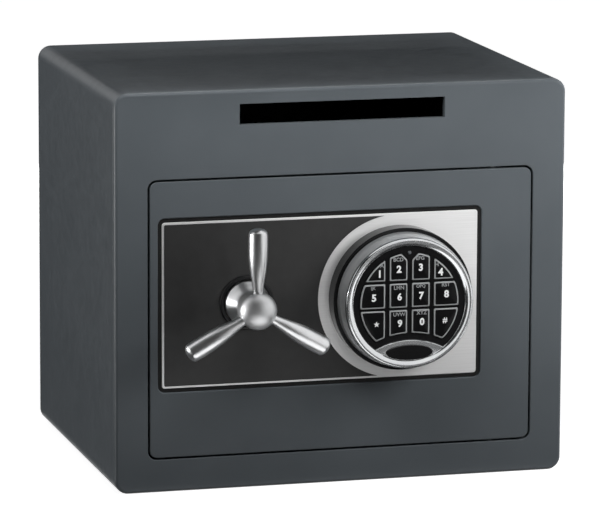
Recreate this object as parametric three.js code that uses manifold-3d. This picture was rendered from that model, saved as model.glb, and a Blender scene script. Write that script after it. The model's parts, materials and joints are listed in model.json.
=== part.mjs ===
// Deposit safe: a steel cabinet with an open deposit slot above a hinged door.
// The door carries a three spoke handle that throws the locking bolts, and a round keypad.
// Every piece is drawn in the front elevation: X to the right, Y up, and Z out of the front face.
// The outer group stands that drawing upright: its front face looks along world -Y, and world Z is up.
import * as THREE from 'three';
import { mergeVertices } from 'three/addons/utils/BufferGeometryUtils.js';
import Module from 'manifold-3d';

const wasm = await Module();
wasm.setup();

// Cabinet, in millimetres
const WIDTH = 347;
const HEIGHT = 300;
const DEPTH = 265;
const CORNER_RADIUS = 10;
const EDGE_ROUND = 2.5;
const SHELL_WALL = 4;
const FRONT_THICKNESS = 5;
const BACK_THICKNESS = 4;
const FRAME_SIDE = 24.9;
const FRAME_BOTTOM = 24.7;
const FRAME_TOP = 64.8;
const FIT = 0.3;

// Deposit slot, chute and baffle
const SLOT_WIDTH = 157.6;
const SLOT_HEIGHT = 15.5;
const SLOT_BELOW_TOP = 10.5;
const SHEET = 1.5;
const CHUTE_SIDE_ROOM = 3;
const CHUTE_SILL = 0.5;
const CHUTE_RUN = 67;
const CHUTE_FALL = 17;
const CHUTE_LIP = 14;
const CHUTE_FLANGE = 11;
const THROAT = 24;
const BAFFLE_DROP = 30;
const BAFFLE_FLANGE = 12;
const TOOTH_PITCH = 16;
const TOOTH_HEIGHT = 7;

// Door and its concealed hinges
const DOOR_GAP = 1.6;
const DOOR_THICKNESS = 5;
const DOOR_CORNER = 5.5;
const PIVOT_FROM_EDGE = 28;
const PIVOT_DEPTH = 9;
const PIN_RADIUS = 2.75;
const KNUCKLE_HALF_WIDTH = 9.5;
const KNUCKLE_BACK = 6.5;
const KNUCKLE_HEIGHT = 17;
const KNUCKLE_INSET = 1.4;
const BRACKET_HEIGHT = 8;
const BRACKET_CLEAR = 1.8;
const DOG_BAR_REACH = 8;
const DOG_BAR_WIDTH = 27;
const DOG_BAR_THICKNESS = 4.5;
const BAR_END_MARGIN = 34;

// Control panel with its dark overlay
const PANEL_WIDTH = 243.2;
const PANEL_HEIGHT = 124.8;
const PANEL_FROM_LEFT = 9.2;
const PANEL_ABOVE_CENTRE = 10.8;
const PANEL_CORNER = 2.2;
const PANEL_THICKNESS = 2;
const PANEL_RECESS = 2.5;
const SHADOW_GAP = 3;
const BORDER_LINE = 1.7;
const OVERLAY_THICKNESS = 0.5;
const OVERLAY_ARC = 62.2;

// Handle
const HANDLE_FROM_LEFT = 64.3;
const ESCUTCHEON_RADIUS = 20.5;
const ESCUTCHEON_HEIGHT = 2.2;
const BOSS_RADIUS = 16.9;
const BOSS_LAND = 1.5;
const NECK_RADIUS = 12.6;
const BALL_RADIUS = 14.2;
const BALL_OUT = 34;
const BALL_DOME = 11;
const SPOKE_LENGTH = 61.5;
const SPOKE_COUNT = 3;
const SPOKE_ROOT_RADIUS = 3.3;
const SPOKE_GRIP_RADIUS = 7;
const SPOKE_SEAT = 9.3;
const SPINDLE_RADIUS = 5;
const HUB_ROOF = 6;
const HANDLE_TURN = 75;

// Bolt work behind the door
const CRANK_RADIUS = 16;
const CRANK_THICKNESS = 5;
const CRANK_BEHIND_DOOR = 4.5;
const CRANK_HUB = 10;
const CRANK_PIN = 3;
const CRANK_LAND = 2.5;
const CRANK_PIN_PROUD = 1.5;
const CARRIAGE_THICKNESS = 4;
const CARRIAGE_CLEAR = 1.5;
const CARRIAGE_BAR_WIDTH = 16;
const CARRIAGE_ARM_END = 43.5;
const SLOT_SIDE_ROOM = 0.7;
const SLOT_END_ROOM = 0.6;
const SLOT_LAND = 6;
const BOLT_RADIUS = 8;
const BOLT_FROM_SCREW = 22;
const BOLT_LENGTH = 33.5;
const GUIDE_THICKNESS = 5;
const GUIDE_GAP = 1.7;
const PAN_LEFT = 8;
const PAN_RIGHT = 39;
const PAN_EDGE = 7.7;
const PAN_DEPTH = 37;
const KEEPER_THICKNESS = 4;
const SCREW_HEAD_RADIUS = 4;
const SCREW_HEAD_HEIGHT = 2.4;
const SCREW_SHANK_RADIUS = 1.7;
const SCREW_INSET = 14;
const SCREW_BITE = 3;

// Lock with its swinging bolt
const LOCK_WIDTH = 64;
const LOCK_HEIGHT = 85;
const LOCK_DEPTH = 22;
const LOCK_WALL = 3;
const LOCK_COVER_THICKNESS = 2;
const LOCK_GAP = 2.5;
const LOCK_DROP = 35.8;
const SWING_PIVOT_IN = 9.5;
const SWING_LENGTH = 29;
const SWING_HALF_WIDTH = 4;
const SWING_HUB = 6;
const SWING_POST = 3;
const SWING_POST_SHORT = 2;
const SWING_ROOM = 2;
const SOLENOID_RADIUS = 8;
const SOLENOID_LENGTH = 28;
const BATTERY_WIDTH = 52;
const BATTERY_HEIGHT = 28;
const BATTERY_DEPTH = 19;
const BATTERY_GAP = 9;

// Keypad
const KEYPAD_FROM_RIGHT = 61.6;
const KEYPAD_DROP = 0.5;
const KEYPAD_BASE_RADIUS = 53.8;
const KEYPAD_HEIGHT = 32;
const BASE_FLOOR = 3;
const BASE_RIM = 14;
const BASE_CHAMFER = 0.8;
const BASE_POST_RADIUS = 39;
const BASE_POST_WALL = 3;
const CABLE_HOLE = 8;
const HOUSING_WALL = 2.6;
const BEZEL_RADIUS = 49.4;
const BEZEL_FLARE = 1.6;
const BEZEL_ROLL_OUT = 3;
const BEZEL_ROLL_HEIGHT = 3.6;
const FACE_RADIUS = 42.8;
const FACE_SEAT = 3.4;
const FACE_DEPTH = 2.8;
const FACE_THICKNESS = 2;
const CRESCENT_RADIUS = 57.5;
const CRESCENT_TOP = -27.3;
const CRESCENT_THICKNESS = 1.6;
const CRESCENT_LAP = 1.2;
const BADGE_HALF_WIDTH = 18.9;
const BADGE_HALF_HEIGHT = 5.6;
const BADGE_Y = -37.1;
const BADGE_THICKNESS = 1;
const LED_RADIUS = 1.3;
const LED_Y = 38;
const LED_PROUD = 0.6;

// Keys: four columns and three rows inside a circle, with an arched lower edge
const KEY_FIELD_RADIUS = 38;
const KEY_COLUMNS = [[-FACE_RADIUS, -18.9], [-15.5, -1.8], [1.8, 15.5], [18.9, FACE_RADIUS]];
const KEY_ROWS = [[17.3, FACE_RADIUS], [-3.1, 15.1], [-FACE_RADIUS, -5]];
const KEY_NAMES = [['1', '2', '3', '4'], ['5', '6', '7', '8'], ['star', '9', '0', 'hash']];
const KEY_ARCH_GAP = 4.8;
const KEY_LED_ROOM = 7.2;
const KEY_PROUD = 1.6;
const KEY_LENGTH = 5.2;
const KEY_TRAVEL = 0.8;
const KEY_FLOOR_ROOM = 0.5;
const KEY_CLEARANCE = 0.35;
const MEMBRANE_THICKNESS = 1.2;
const BOARD_OVERHANG = 2;
const BOARD_THICKNESS = 1.6;

// Floor mat and the plugs in the anchor holes
const MAT_THICKNESS = 2;
const MAT_MARGIN = 9;
const ANCHOR_RADIUS = 6;
const ANCHOR_SPACING = 180;
const PLUG_HEAD_RADIUS = 9;
const PLUG_HEAD_HEIGHT = 2.5;
const PLUG_SHORT = 1;

// Places worked out from the sizes above
const DEGREE = Math.PI / 180;
const OPENING = {
  left: -WIDTH / 2 + FRAME_SIDE,
  right: WIDTH / 2 - FRAME_SIDE,
  bottom: FRAME_BOTTOM,
  top: HEIGHT - FRAME_TOP,
};
const DOOR = {
  left: OPENING.left + DOOR_GAP,
  right: OPENING.right - DOOR_GAP,
  bottom: OPENING.bottom + DOOR_GAP,
  top: OPENING.top - DOOR_GAP,
};
const DOOR_CENTRE_Y = (DOOR.bottom + DOOR.top) / 2;
const PANEL_LEFT = DOOR.left + PANEL_FROM_LEFT;
const PANEL_Y = DOOR_CENTRE_Y + PANEL_ABOVE_CENTRE;
const PANEL_BACK = -PANEL_RECESS;
const PANEL_FACE = PANEL_BACK + PANEL_THICKNESS;
const OVERLAY_FACE = PANEL_FACE + OVERLAY_THICKNESS;
const HANDLE_X = PANEL_LEFT + HANDLE_FROM_LEFT;
const KEYPAD_X = PANEL_LEFT + PANEL_WIDTH - KEYPAD_FROM_RIGHT;
const KEYPAD_Y = PANEL_Y - KEYPAD_DROP;
const DOOR_BACK = -DOOR_THICKNESS;
const PIVOT_X = DOOR.right - PIVOT_FROM_EDGE;
const SLOT_TOP = HEIGHT - SLOT_BELOW_TOP;
const SLOT_BOTTOM = SLOT_TOP - SLOT_HEIGHT;
const INSIDE_TOP = HEIGHT - SHELL_WALL;
const PAN_BACK = DOOR_BACK - PAN_DEPTH;
const CRANK_FRONT = DOOR_BACK - CRANK_BEHIND_DOOR;
const CRANK_BACK = CRANK_FRONT - CRANK_THICKNESS;
const CARRIAGE_FRONT = CRANK_BACK - CARRIAGE_CLEAR;
const CARRIAGE_BACK = CARRIAGE_FRONT - CARRIAGE_THICKNESS;
const BOLT_OUT = (CARRIAGE_FRONT + CARRIAGE_BACK) / 2;
const BOLT_THROW = 2 * CRANK_RADIUS * Math.sin(HANDLE_TURN / 2 * DEGREE);
const GUIDE_LEFT = DOOR.left + PAN_LEFT + SHEET + GUIDE_GAP;
const BAR_LEFT = GUIDE_LEFT + GUIDE_THICKNESS + BOLT_THROW + 2 * FIT;

// Turns a closed geometry into a solid: shared corners merged, needle faces dropped, faces pointing out.
function solid(geometry) {
  const bare = geometry.clone();
  bare.deleteAttribute('normal');
  bare.deleteAttribute('uv');
  const merged = mergeVertices(bare, 1e-4);
  const corners = merged.attributes.position.array;
  const kept = [];
  let volume = 0;
  const a = new THREE.Vector3();
  const b = new THREE.Vector3();
  const c = new THREE.Vector3();
  for (let i = 0; i < merged.index.count; i += 3) {
    const [p, q, r] = [0, 1, 2].map((k) => merged.index.getX(i + k));
    if (p === q || q === r || r === p) continue;
    kept.push(p, q, r);
    a.fromArray(corners, 3 * p);
    b.fromArray(corners, 3 * q);
    c.fromArray(corners, 3 * r);
    volume += a.dot(b.cross(c));
  }
  if (volume < 0) kept.reverse();
  return new wasm.Manifold(new wasm.Mesh({
    numProp: 3,
    vertProperties: new Float32Array(corners),
    triVerts: new Uint32Array(kept),
  }));
}

// Gives a solid back as a geometry with flat faces.
function geometryOf(body) {
  const mesh = body.getMesh();
  const geometry = new THREE.BufferGeometry();
  geometry.setAttribute('position', new THREE.BufferAttribute(mesh.vertProperties, 3));
  geometry.setIndex(new THREE.BufferAttribute(mesh.triVerts, 1));
  geometry.computeVertexNormals();
  return geometry;
}

function joined(first, ...rest) {
  return rest.reduce((body, other) => body.add(other), first);
}

function cut(first, ...tools) {
  return tools.reduce((body, tool) => body.subtract(tool), first);
}

// Rectangle with round corners, between two sides and two heights.
function roundedOutline(left, right, bottom, top, radius) {
  const shape = new THREE.Shape();
  const r = Math.max(radius, 0.01);
  shape.moveTo(left + r, bottom);
  shape.absarc(right - r, bottom + r, r, -Math.PI / 2, 0);
  shape.absarc(right - r, top - r, r, 0, Math.PI / 2);
  shape.absarc(left + r, top - r, r, Math.PI / 2, Math.PI);
  shape.absarc(left + r, bottom + r, r, Math.PI, 1.5 * Math.PI);
  return shape;
}

// An outline given a thickness, from its back to its front.
function slab(shape, back, front, curveSegments = 6) {
  const options = { depth: front - back, bevelEnabled: false, curveSegments };
  return solid(new THREE.ExtrudeGeometry(shape, options).translate(0, 0, back));
}

function block(left, right, bottom, top, back, front) {
  const geometry = new THREE.BoxGeometry(right - left, top - bottom, front - back);
  return solid(geometry.translate((left + right) / 2, (bottom + top) / 2, (back + front) / 2));
}

// Round bar square to the front face.
function disc(x, y, radius, back, front, sides = 24) {
  const geometry = new THREE.CylinderGeometry(radius, radius, front - back, sides);
  return solid(geometry.rotateX(Math.PI / 2).translate(x, y, (back + front) / 2));
}

// Round bar across the safe, along X.
function crossBar(left, right, y, out, radius, sides = 24) {
  const geometry = new THREE.CylinderGeometry(radius, radius, right - left, sides);
  return solid(geometry.rotateZ(Math.PI / 2).translate((left + right) / 2, y, out));
}

// Upright round bar.
function post(x, out, radius, bottom, top, sides = 24) {
  const geometry = new THREE.CylinderGeometry(radius, radius, top - bottom, sides);
  return solid(geometry.translate(x, (bottom + top) / 2, out));
}

// Profile of [radius, out] corners turned round the Z axis.
function turned(profile, segments) {
  const points = profile.map(([radius, out]) => new THREE.Vector2(radius, out));
  return new THREE.LatheGeometry(points, segments).rotateX(Math.PI / 2);
}

// Profile of [depth behind the front face, Y] corners pulled out along X.
function folded(profile, left, right) {
  const shape = new THREE.Shape(profile.map(([depth, y]) => new THREE.Vector2(depth, y)));
  const geometry = new THREE.ExtrudeGeometry(shape, { depth: right - left, bevelEnabled: false });
  return solid(geometry.rotateY(Math.PI / 2).translate(left, 0, 0));
}

function finish(color, roughness, metalness) {
  return new THREE.MeshStandardMaterial({ color, roughness, metalness });
}

const charcoalPaint = finish(0x54585b, 0.45, 0.1);
const innerPaint = finish(0x3f4244, 0.6, 0.05);
const brushedSteel = finish(0xc9c9c9, 0.35, 0.9);
const blackSatin = finish(0x2a2a2a, 0.45, 0.0);
const chrome = finish(0xd4d6d8, 0.12, 1.0);
const zincSteel = finish(0xa9adb0, 0.4, 0.9);
const blackPlastic = finish(0x141516, 0.35, 0.0);
const keyRubber = finish(0x0d0d0e, 0.3, 0.0);
const siliconeRubber = finish(0x5d6063, 0.7, 0.0);
const boardGreen = finish(0x1f5a3a, 0.5, 0.0);
const ledLens = finish(0xb7bcc0, 0.2, 0.0);
const plugRubber = finish(0x1a1a1a, 0.8, 0.0);
const matFelt = finish(0x3a3b3d, 0.95, 0.0);
const lockCasting = finish(0x8d9093, 0.5, 0.7);
const batteryWrap = finish(0x2f3338, 0.5, 0.1);

const safe = new THREE.Group();
safe.rotation.x = Math.PI / 2;
safe.position.y = -DEPTH / 2;
const cabinet = new THREE.Group();
const door = new THREE.Group();
const handle = new THREE.Group();
const keypad = new THREE.Group();
const boltWork = new THREE.Group();
handle.position.set(HANDLE_X, PANEL_Y, 0);
keypad.position.set(KEYPAD_X, KEYPAD_Y, PANEL_FACE);
safe.add(cabinet, door);
door.add(handle, keypad, boltWork);

function piece(group, name, body, material) {
  const mesh = new THREE.Mesh(geometryOf(body), material);
  mesh.name = name;
  group.add(mesh);
  return mesh;
}

// Cabinet shell: a sheet wrapped into a tube with round corners, holed for the floor anchors
const outerOutline = roundedOutline(-WIDTH / 2, WIDTH / 2, 0, HEIGHT, CORNER_RADIUS);
const shellBack = -DEPTH + BACK_THICKNESS;
const anchorOut = -DEPTH / 2;
const anchorPlaces = [-ANCHOR_SPACING / 2, ANCHOR_SPACING / 2];
const tubeInside = roundedOutline(
  -WIDTH / 2 + SHELL_WALL, WIDTH / 2 - SHELL_WALL, SHELL_WALL, INSIDE_TOP, CORNER_RADIUS - SHELL_WALL);
const shell = cut(
  slab(outerOutline, shellBack, -FRONT_THICKNESS),
  slab(tubeInside, shellBack - 1, 1 - FRONT_THICKNESS),
  ...anchorPlaces.map((x) => post(x, anchorOut, ANCHOR_RADIUS, -1, SHELL_WALL + 1)));
piece(cabinet, 'cabinet_shell', shell, charcoalPaint);
piece(cabinet, 'back_plate', slab(outerOutline, -DEPTH, shellBack), charcoalPaint);

// Front frame: rounded along its outer front edge, open for the door and for the deposit slot
const frameCore = new THREE.ExtrudeGeometry(
  roundedOutline(-WIDTH / 2 + EDGE_ROUND, WIDTH / 2 - EDGE_ROUND, EDGE_ROUND, HEIGHT - EDGE_ROUND,
    CORNER_RADIUS - EDGE_ROUND),
  {
    depth: FRONT_THICKNESS,
    bevelThickness: EDGE_ROUND,
    bevelSize: EDGE_ROUND,
    bevelSegments: 4,
    curveSegments: 6,
  });
frameCore.translate(0, 0, -FRONT_THICKNESS - EDGE_ROUND);
const frontFrame = cut(
  solid(frameCore),
  block(-WIDTH, WIDTH, -HEIGHT, 2 * HEIGHT, -3 * FRONT_THICKNESS, -FRONT_THICKNESS),
  slab(roundedOutline(OPENING.left, OPENING.right, OPENING.bottom, OPENING.top, DOOR_CORNER + DOOR_GAP),
    -2 * FRONT_THICKNESS, 1),
  block(-SLOT_WIDTH / 2, SLOT_WIDTH / 2, SLOT_BOTTOM, SLOT_TOP, -2 * FRONT_THICKNESS, 1));
piece(cabinet, 'front_frame', frontFrame, charcoalPaint);

// Deposit chute: a folded sheet that slopes back from the slot, with a cheek at each end
const chuteTop = SLOT_BOTTOM - CHUTE_SILL;
const chuteFront = FRONT_THICKNESS;
const chuteEnd = chuteFront + CHUTE_RUN;
const chuteHalf = SLOT_WIDTH / 2 + CHUTE_SIDE_ROOM;
const chuteFloor = folded([
  [chuteFront, chuteTop - CHUTE_FLANGE],
  [chuteFront + SHEET, chuteTop - CHUTE_FLANGE],
  [chuteFront + SHEET, chuteTop - SHEET],
  [chuteEnd, chuteTop - CHUTE_FALL - SHEET],
  [chuteEnd, chuteTop - CHUTE_FALL - CHUTE_LIP],
  [chuteEnd + SHEET, chuteTop - CHUTE_FALL - CHUTE_LIP],
  [chuteEnd + SHEET, chuteTop - CHUTE_FALL],
  [chuteFront, chuteTop],
], -chuteHalf, chuteHalf);
const cheekProfile = [
  [chuteFront, INSIDE_TOP],
  [chuteFront, chuteTop - SHEET / 2],
  [chuteEnd + SHEET, chuteTop - CHUTE_FALL - SHEET / 2],
  [chuteEnd + SHEET, INSIDE_TOP],
];
const chute = joined(
  chuteFloor,
  folded(cheekProfile, -chuteHalf, -chuteHalf + SHEET),
  folded(cheekProfile, chuteHalf - SHEET, chuteHalf));
piece(cabinet, 'deposit_chute', chute, innerPaint);

// Baffle: hangs behind the chute and ends in teeth that catch anything pulled back up
const baffleDepth = chuteEnd + SHEET + THROAT;
const baffleBottom = INSIDE_TOP - BAFFLE_DROP;
const toothCount = Math.floor(2 * chuteHalf / TOOTH_PITCH);
const baffleShape = new THREE.Shape();
baffleShape.moveTo(-chuteHalf, INSIDE_TOP);
baffleShape.lineTo(-chuteHalf, baffleBottom);
for (let i = 0; i < toothCount; i += 1) {
  const start = -chuteHalf + (i + 0.5) * 2 * chuteHalf / toothCount;
  baffleShape.lineTo(start, baffleBottom - TOOTH_HEIGHT);
  baffleShape.lineTo(start + chuteHalf / toothCount, baffleBottom);
}
baffleShape.lineTo(chuteHalf, INSIDE_TOP);
const baffle = joined(
  slab(baffleShape, -baffleDepth - SHEET, -baffleDepth),
  block(-chuteHalf, chuteHalf, INSIDE_TOP - SHEET, INSIDE_TOP, -baffleDepth - BAFFLE_FLANGE, -baffleDepth));
piece(cabinet, 'chute_baffle', baffle, innerPaint);

// Floor mat with a hole round each anchor plug, and the plugs
const mat = cut(
  block(-WIDTH / 2 + SHELL_WALL + MAT_MARGIN, WIDTH / 2 - SHELL_WALL - MAT_MARGIN,
    SHELL_WALL, SHELL_WALL + MAT_THICKNESS,
    shellBack + MAT_MARGIN, PAN_BACK - MAT_MARGIN),
  ...anchorPlaces.map((x) => post(x, anchorOut, PLUG_HEAD_RADIUS + FIT, 0, 2 * SHELL_WALL + MAT_THICKNESS)));
piece(cabinet, 'floor_mat', mat, matFelt);
['anchor_plug_left', 'anchor_plug_right'].forEach((name, i) => {
  const plug = joined(
    post(0, 0, PLUG_HEAD_RADIUS, SHELL_WALL, SHELL_WALL + PLUG_HEAD_HEIGHT),
    post(0, 0, ANCHOR_RADIUS - FIT, PLUG_SHORT, SHELL_WALL + PLUG_HEAD_HEIGHT / 2));
  piece(cabinet, name, plug, plugRubber).position.set(anchorPlaces[i], 0, anchorOut);
});

// Hinges: a bracket and a fixed pin behind the frame, and a knuckle on the door, above and below
const pinOut = -PIVOT_DEPTH;
const knuckleBack = pinOut - KNUCKLE_BACK;
[
  { end: 'top', knuckle: DOOR.top - KNUCKLE_INSET, bracket: OPENING.top + BRACKET_CLEAR, way: 1 },
  { end: 'bottom', knuckle: DOOR.bottom + KNUCKLE_INSET, bracket: OPENING.bottom - BRACKET_CLEAR, way: -1 },
].forEach(({ end, knuckle, bracket, way }) => {
  const bracketFar = bracket + way * BRACKET_HEIGHT;
  const knuckleFar = knuckle - way * KNUCKLE_HEIGHT;
  const span = (a, b) => [Math.min(a, b), Math.max(a, b)];
  const [bracketLow, bracketHigh] = span(bracket, bracketFar);
  const [knuckleLow, knuckleHigh] = span(knuckle, knuckleFar);
  const [pinLow, pinHigh] = span(knuckleFar + way * FIT, bracketFar);
  const bore = (low, high) => post(PIVOT_X, pinOut, PIN_RADIUS + FIT, low - 1, high + 1);
  const sides = [PIVOT_X - KNUCKLE_HALF_WIDTH, PIVOT_X + KNUCKLE_HALF_WIDTH];
  piece(cabinet, `hinge_bracket_${end}`,
    cut(block(...sides, bracketLow, bracketHigh, knuckleBack, -FRONT_THICKNESS),
      bore(bracketLow, bracketHigh)),
    zincSteel);
  piece(cabinet, `hinge_pin_${end}`, post(PIVOT_X, pinOut, PIN_RADIUS, pinLow, pinHigh), zincSteel);
  piece(door, `hinge_knuckle_${end}`,
    cut(block(...sides, knuckleLow, knuckleHigh, knuckleBack, DOOR_BACK),
      bore(knuckleLow, knuckleHigh)),
    zincSteel);
});

// Keeper bar: stiffens the frame on the side where the bolts pass behind it
const barLow = DOOR.bottom + BAR_END_MARGIN;
const barHigh = DOOR.top - BAR_END_MARGIN;
piece(cabinet, 'keeper_bar',
  block(-WIDTH / 2 + SHELL_WALL, OPENING.left - FIT, barLow, barHigh,
    -FRONT_THICKNESS - KEEPER_THICKNESS, -FRONT_THICKNESS),
  zincSteel);

// Door plate: recessed for the control panel, with blind holes behind it for the inner pan's screws
const panLeft = DOOR.left + PAN_LEFT;
const panRight = DOOR.right - PAN_RIGHT;
const panBottom = DOOR.bottom + PAN_EDGE;
const panTop = DOOR.top - PAN_EDGE;
const screwPlaces = [
  [panLeft + SCREW_INSET, panBottom + SCREW_INSET],
  [panRight - SCREW_INSET, panBottom + SCREW_INSET],
  [panRight - SCREW_INSET, panTop - SCREW_INSET],
  [panLeft + SCREW_INSET, panTop - SCREW_INSET],
];
const panelOutline = (grow) => roundedOutline(
  PANEL_LEFT - grow, PANEL_LEFT + PANEL_WIDTH + grow,
  PANEL_Y - PANEL_HEIGHT / 2 - grow, PANEL_Y + PANEL_HEIGHT / 2 + grow,
  PANEL_CORNER + grow);
const spindleHole = disc(HANDLE_X, PANEL_Y, SPINDLE_RADIUS + 2 * FIT, -2 * DOOR_THICKNESS, DOOR_THICKNESS);
const cableHole = disc(KEYPAD_X, KEYPAD_Y, CABLE_HOLE, -2 * DOOR_THICKNESS, DOOR_THICKNESS);
const screwHole = SCREW_SHANK_RADIUS + FIT;
const doorPlate = cut(
  slab(roundedOutline(DOOR.left, DOOR.right, DOOR.bottom, DOOR.top, DOOR_CORNER), DOOR_BACK, 0),
  slab(panelOutline(SHADOW_GAP), PANEL_BACK, 1),
  spindleHole,
  cableHole,
  ...screwPlaces.map(([x, y]) => disc(x, y, screwHole, DOOR_BACK - 1, DOOR_BACK + SCREW_BITE, 12)));
piece(door, 'door_plate', doorPlate, charcoalPaint);

// Control panel and the dark overlay, which ends in an arc round the keypad
piece(door, 'control_panel',
  cut(slab(panelOutline(0), PANEL_BACK, PANEL_FACE), spindleHole, cableHole),
  brushedSteel);
piece(door, 'panel_overlay',
  cut(slab(panelOutline(-BORDER_LINE), PANEL_FACE, OVERLAY_FACE),
    disc(KEYPAD_X, KEYPAD_Y, OVERLAY_ARC, PANEL_BACK, 1, 96),
    block(KEYPAD_X, KEYPAD_X + PANEL_WIDTH, PANEL_Y - PANEL_HEIGHT, PANEL_Y + PANEL_HEIGHT, PANEL_BACK, 1),
    spindleHole),
  blackSatin);

// Dog bar: holds the hinge side of the door behind the frame
piece(door, 'dog_bar',
  joined(
    block(OPENING.right + DOG_BAR_REACH - DOG_BAR_WIDTH, DOOR.right - FIT, barLow, barHigh,
      DOOR_BACK - DOG_BAR_THICKNESS, DOOR_BACK),
    block(OPENING.right + DOG_BAR_REACH - DOG_BAR_WIDTH, OPENING.right + DOG_BAR_REACH, barLow, barHigh,
      DOOR_BACK - DOG_BAR_THICKNESS, DOOR_BACK - 2 * FIT)),
  zincSteel);

// Inner pan: a shallow tray over the bolt work, holed for the bolts and its screws
const boltInset = SCREW_INSET + BOLT_FROM_SCREW;
const boltHeights = [panTop - boltInset, panBottom + boltInset];
const pan = cut(
  block(panLeft, panRight, panBottom, panTop, PAN_BACK, DOOR_BACK),
  block(panLeft + SHEET, panRight - SHEET, panBottom + SHEET, panTop - SHEET, PAN_BACK + SHEET, 0),
  ...boltHeights.map((y) => crossBar(panLeft - 1, panLeft + 2 * SHEET, y, BOLT_OUT, BOLT_RADIUS + 2 * FIT)),
  ...screwPlaces.map(([x, y]) => disc(x, y, screwHole, PAN_BACK - 1, PAN_BACK + 2 * SHEET, 12)));
piece(door, 'door_pan', pan, innerPaint);
screwPlaces.forEach(([x, y], i) => {
  const screw = joined(
    disc(0, 0, SCREW_HEAD_RADIUS, PAN_BACK - SCREW_HEAD_HEIGHT, PAN_BACK, 16),
    disc(0, 0, SCREW_SHANK_RADIUS, PAN_BACK - SCREW_HEAD_HEIGHT / 2, DOOR_BACK + SCREW_BITE - FIT, 12));
  piece(door, `pan_screw_${i + 1}`, screw, zincSteel).position.set(x, y, 0);
});

// Bolt guide: a bar on edge behind the door, holed for the bolts
const guideMargin = 2 * BOLT_RADIUS;
const guideRight = GUIDE_LEFT + GUIDE_THICKNESS;
piece(boltWork, 'bolt_guide',
  cut(
    block(GUIDE_LEFT, guideRight, boltHeights[1] - guideMargin, boltHeights[0] + guideMargin,
      BOLT_OUT - 1.5 * BOLT_RADIUS, DOOR_BACK),
    ...boltHeights.map((y) => crossBar(GUIDE_LEFT - 1, guideRight + 1, y, BOLT_OUT, BOLT_RADIUS + FIT))),
  zincSteel);

// Bolt carriage: an upright bar that carries the bolts, and an arm slotted for the crank pin
const slotTop = CRANK_RADIUS + CRANK_PIN + SLOT_END_ROOM;
const slotBottom = CRANK_RADIUS * Math.cos(HANDLE_TURN / 2 * DEGREE) - CRANK_PIN - SLOT_END_ROOM;
const armTop = PANEL_Y + slotTop + SLOT_LAND;
const armBottom = PANEL_Y + slotBottom - SLOT_LAND;
const slotX = HANDLE_X + CRANK_RADIUS * Math.sin(HANDLE_TURN / 2 * DEGREE);
const slotHalf = CRANK_PIN + SLOT_SIDE_ROOM;
const armEnd = HANDLE_X + CARRIAGE_ARM_END;
const barMargin = 1.5 * BOLT_RADIUS;
const carriage = cut(
  joined(
    block(BAR_LEFT, BAR_LEFT + CARRIAGE_BAR_WIDTH, boltHeights[1] - barMargin, boltHeights[0] + barMargin,
      CARRIAGE_BACK, CARRIAGE_FRONT),
    block(BAR_LEFT, armEnd, armBottom, armTop, CARRIAGE_BACK, CARRIAGE_FRONT)),
  slab(roundedOutline(slotX - slotHalf, slotX + slotHalf, PANEL_Y + slotBottom, PANEL_Y + slotTop, slotHalf),
    CARRIAGE_BACK - 1, CARRIAGE_FRONT + 1));
piece(boltWork, 'bolt_carriage', carriage, zincSteel);
['locking_bolt_top', 'locking_bolt_bottom'].forEach((name, i) => {
  piece(boltWork, name, crossBar(-BOLT_LENGTH, 0, 0, 0, BOLT_RADIUS), chrome)
    .position.set(BAR_LEFT, boltHeights[i], BOLT_OUT);
});

// Lock: a cast case open at the back with a post for the swinging bolt, its cover and its solenoid
const lockLeft = armEnd + LOCK_GAP;
const lockRight = lockLeft + LOCK_WIDTH;
const lockBottom = PANEL_Y - LOCK_DROP;
const lockTop = lockBottom + LOCK_HEIGHT;
const lockBack = DOOR_BACK - LOCK_DEPTH;
const swingX = lockLeft + SWING_PIVOT_IN;
const swingY = (armTop + armBottom) / 2 - SWING_LENGTH / 2;
const swingFloor = DOOR_BACK - LOCK_WALL;
const lockCase = joined(
  cut(
    block(lockLeft, lockRight, lockBottom, lockTop, lockBack, DOOR_BACK),
    block(lockLeft + LOCK_WALL, lockRight - LOCK_WALL, lockBottom + LOCK_WALL, lockTop - LOCK_WALL,
      lockBack - 1, swingFloor),
    block(lockLeft - 1, lockLeft + 2 * LOCK_WALL, swingY - SWING_HUB - FIT,
      swingY + SWING_LENGTH + SWING_HALF_WIDTH + SWING_ROOM, CARRIAGE_BACK - 1, CARRIAGE_FRONT + 1)),
  disc(swingX, swingY, SWING_POST, lockBack + SWING_POST_SHORT, swingFloor + LOCK_WALL / 2, 24));
piece(boltWork, 'lock_case', lockCase, lockCasting);
piece(boltWork, 'lock_cover',
  block(lockLeft, lockRight, lockBottom, lockTop, lockBack - LOCK_COVER_THICKNESS, lockBack),
  zincSteel);
piece(boltWork, 'lock_solenoid',
  crossBar(lockRight - LOCK_WALL - SOLENOID_LENGTH, lockRight - LOCK_WALL,
    lockBottom + LOCK_WALL + SOLENOID_RADIUS + 2 * FIT, swingFloor - SOLENOID_RADIUS - FIT, SOLENOID_RADIUS),
  zincSteel);
const swingBolt = cut(
  joined(
    block(-SWING_HALF_WIDTH, SWING_HALF_WIDTH, 0, SWING_LENGTH, CARRIAGE_BACK, CARRIAGE_FRONT),
    disc(0, SWING_LENGTH, SWING_HALF_WIDTH, CARRIAGE_BACK, CARRIAGE_FRONT, 24),
    disc(0, 0, SWING_HUB, CARRIAGE_BACK, CARRIAGE_FRONT, 24)),
  disc(0, 0, SWING_POST + FIT, CARRIAGE_BACK - 1, CARRIAGE_FRONT + 1, 24));
piece(boltWork, 'swing_bolt', swingBolt, chrome).position.set(swingX, swingY, 0);

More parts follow.
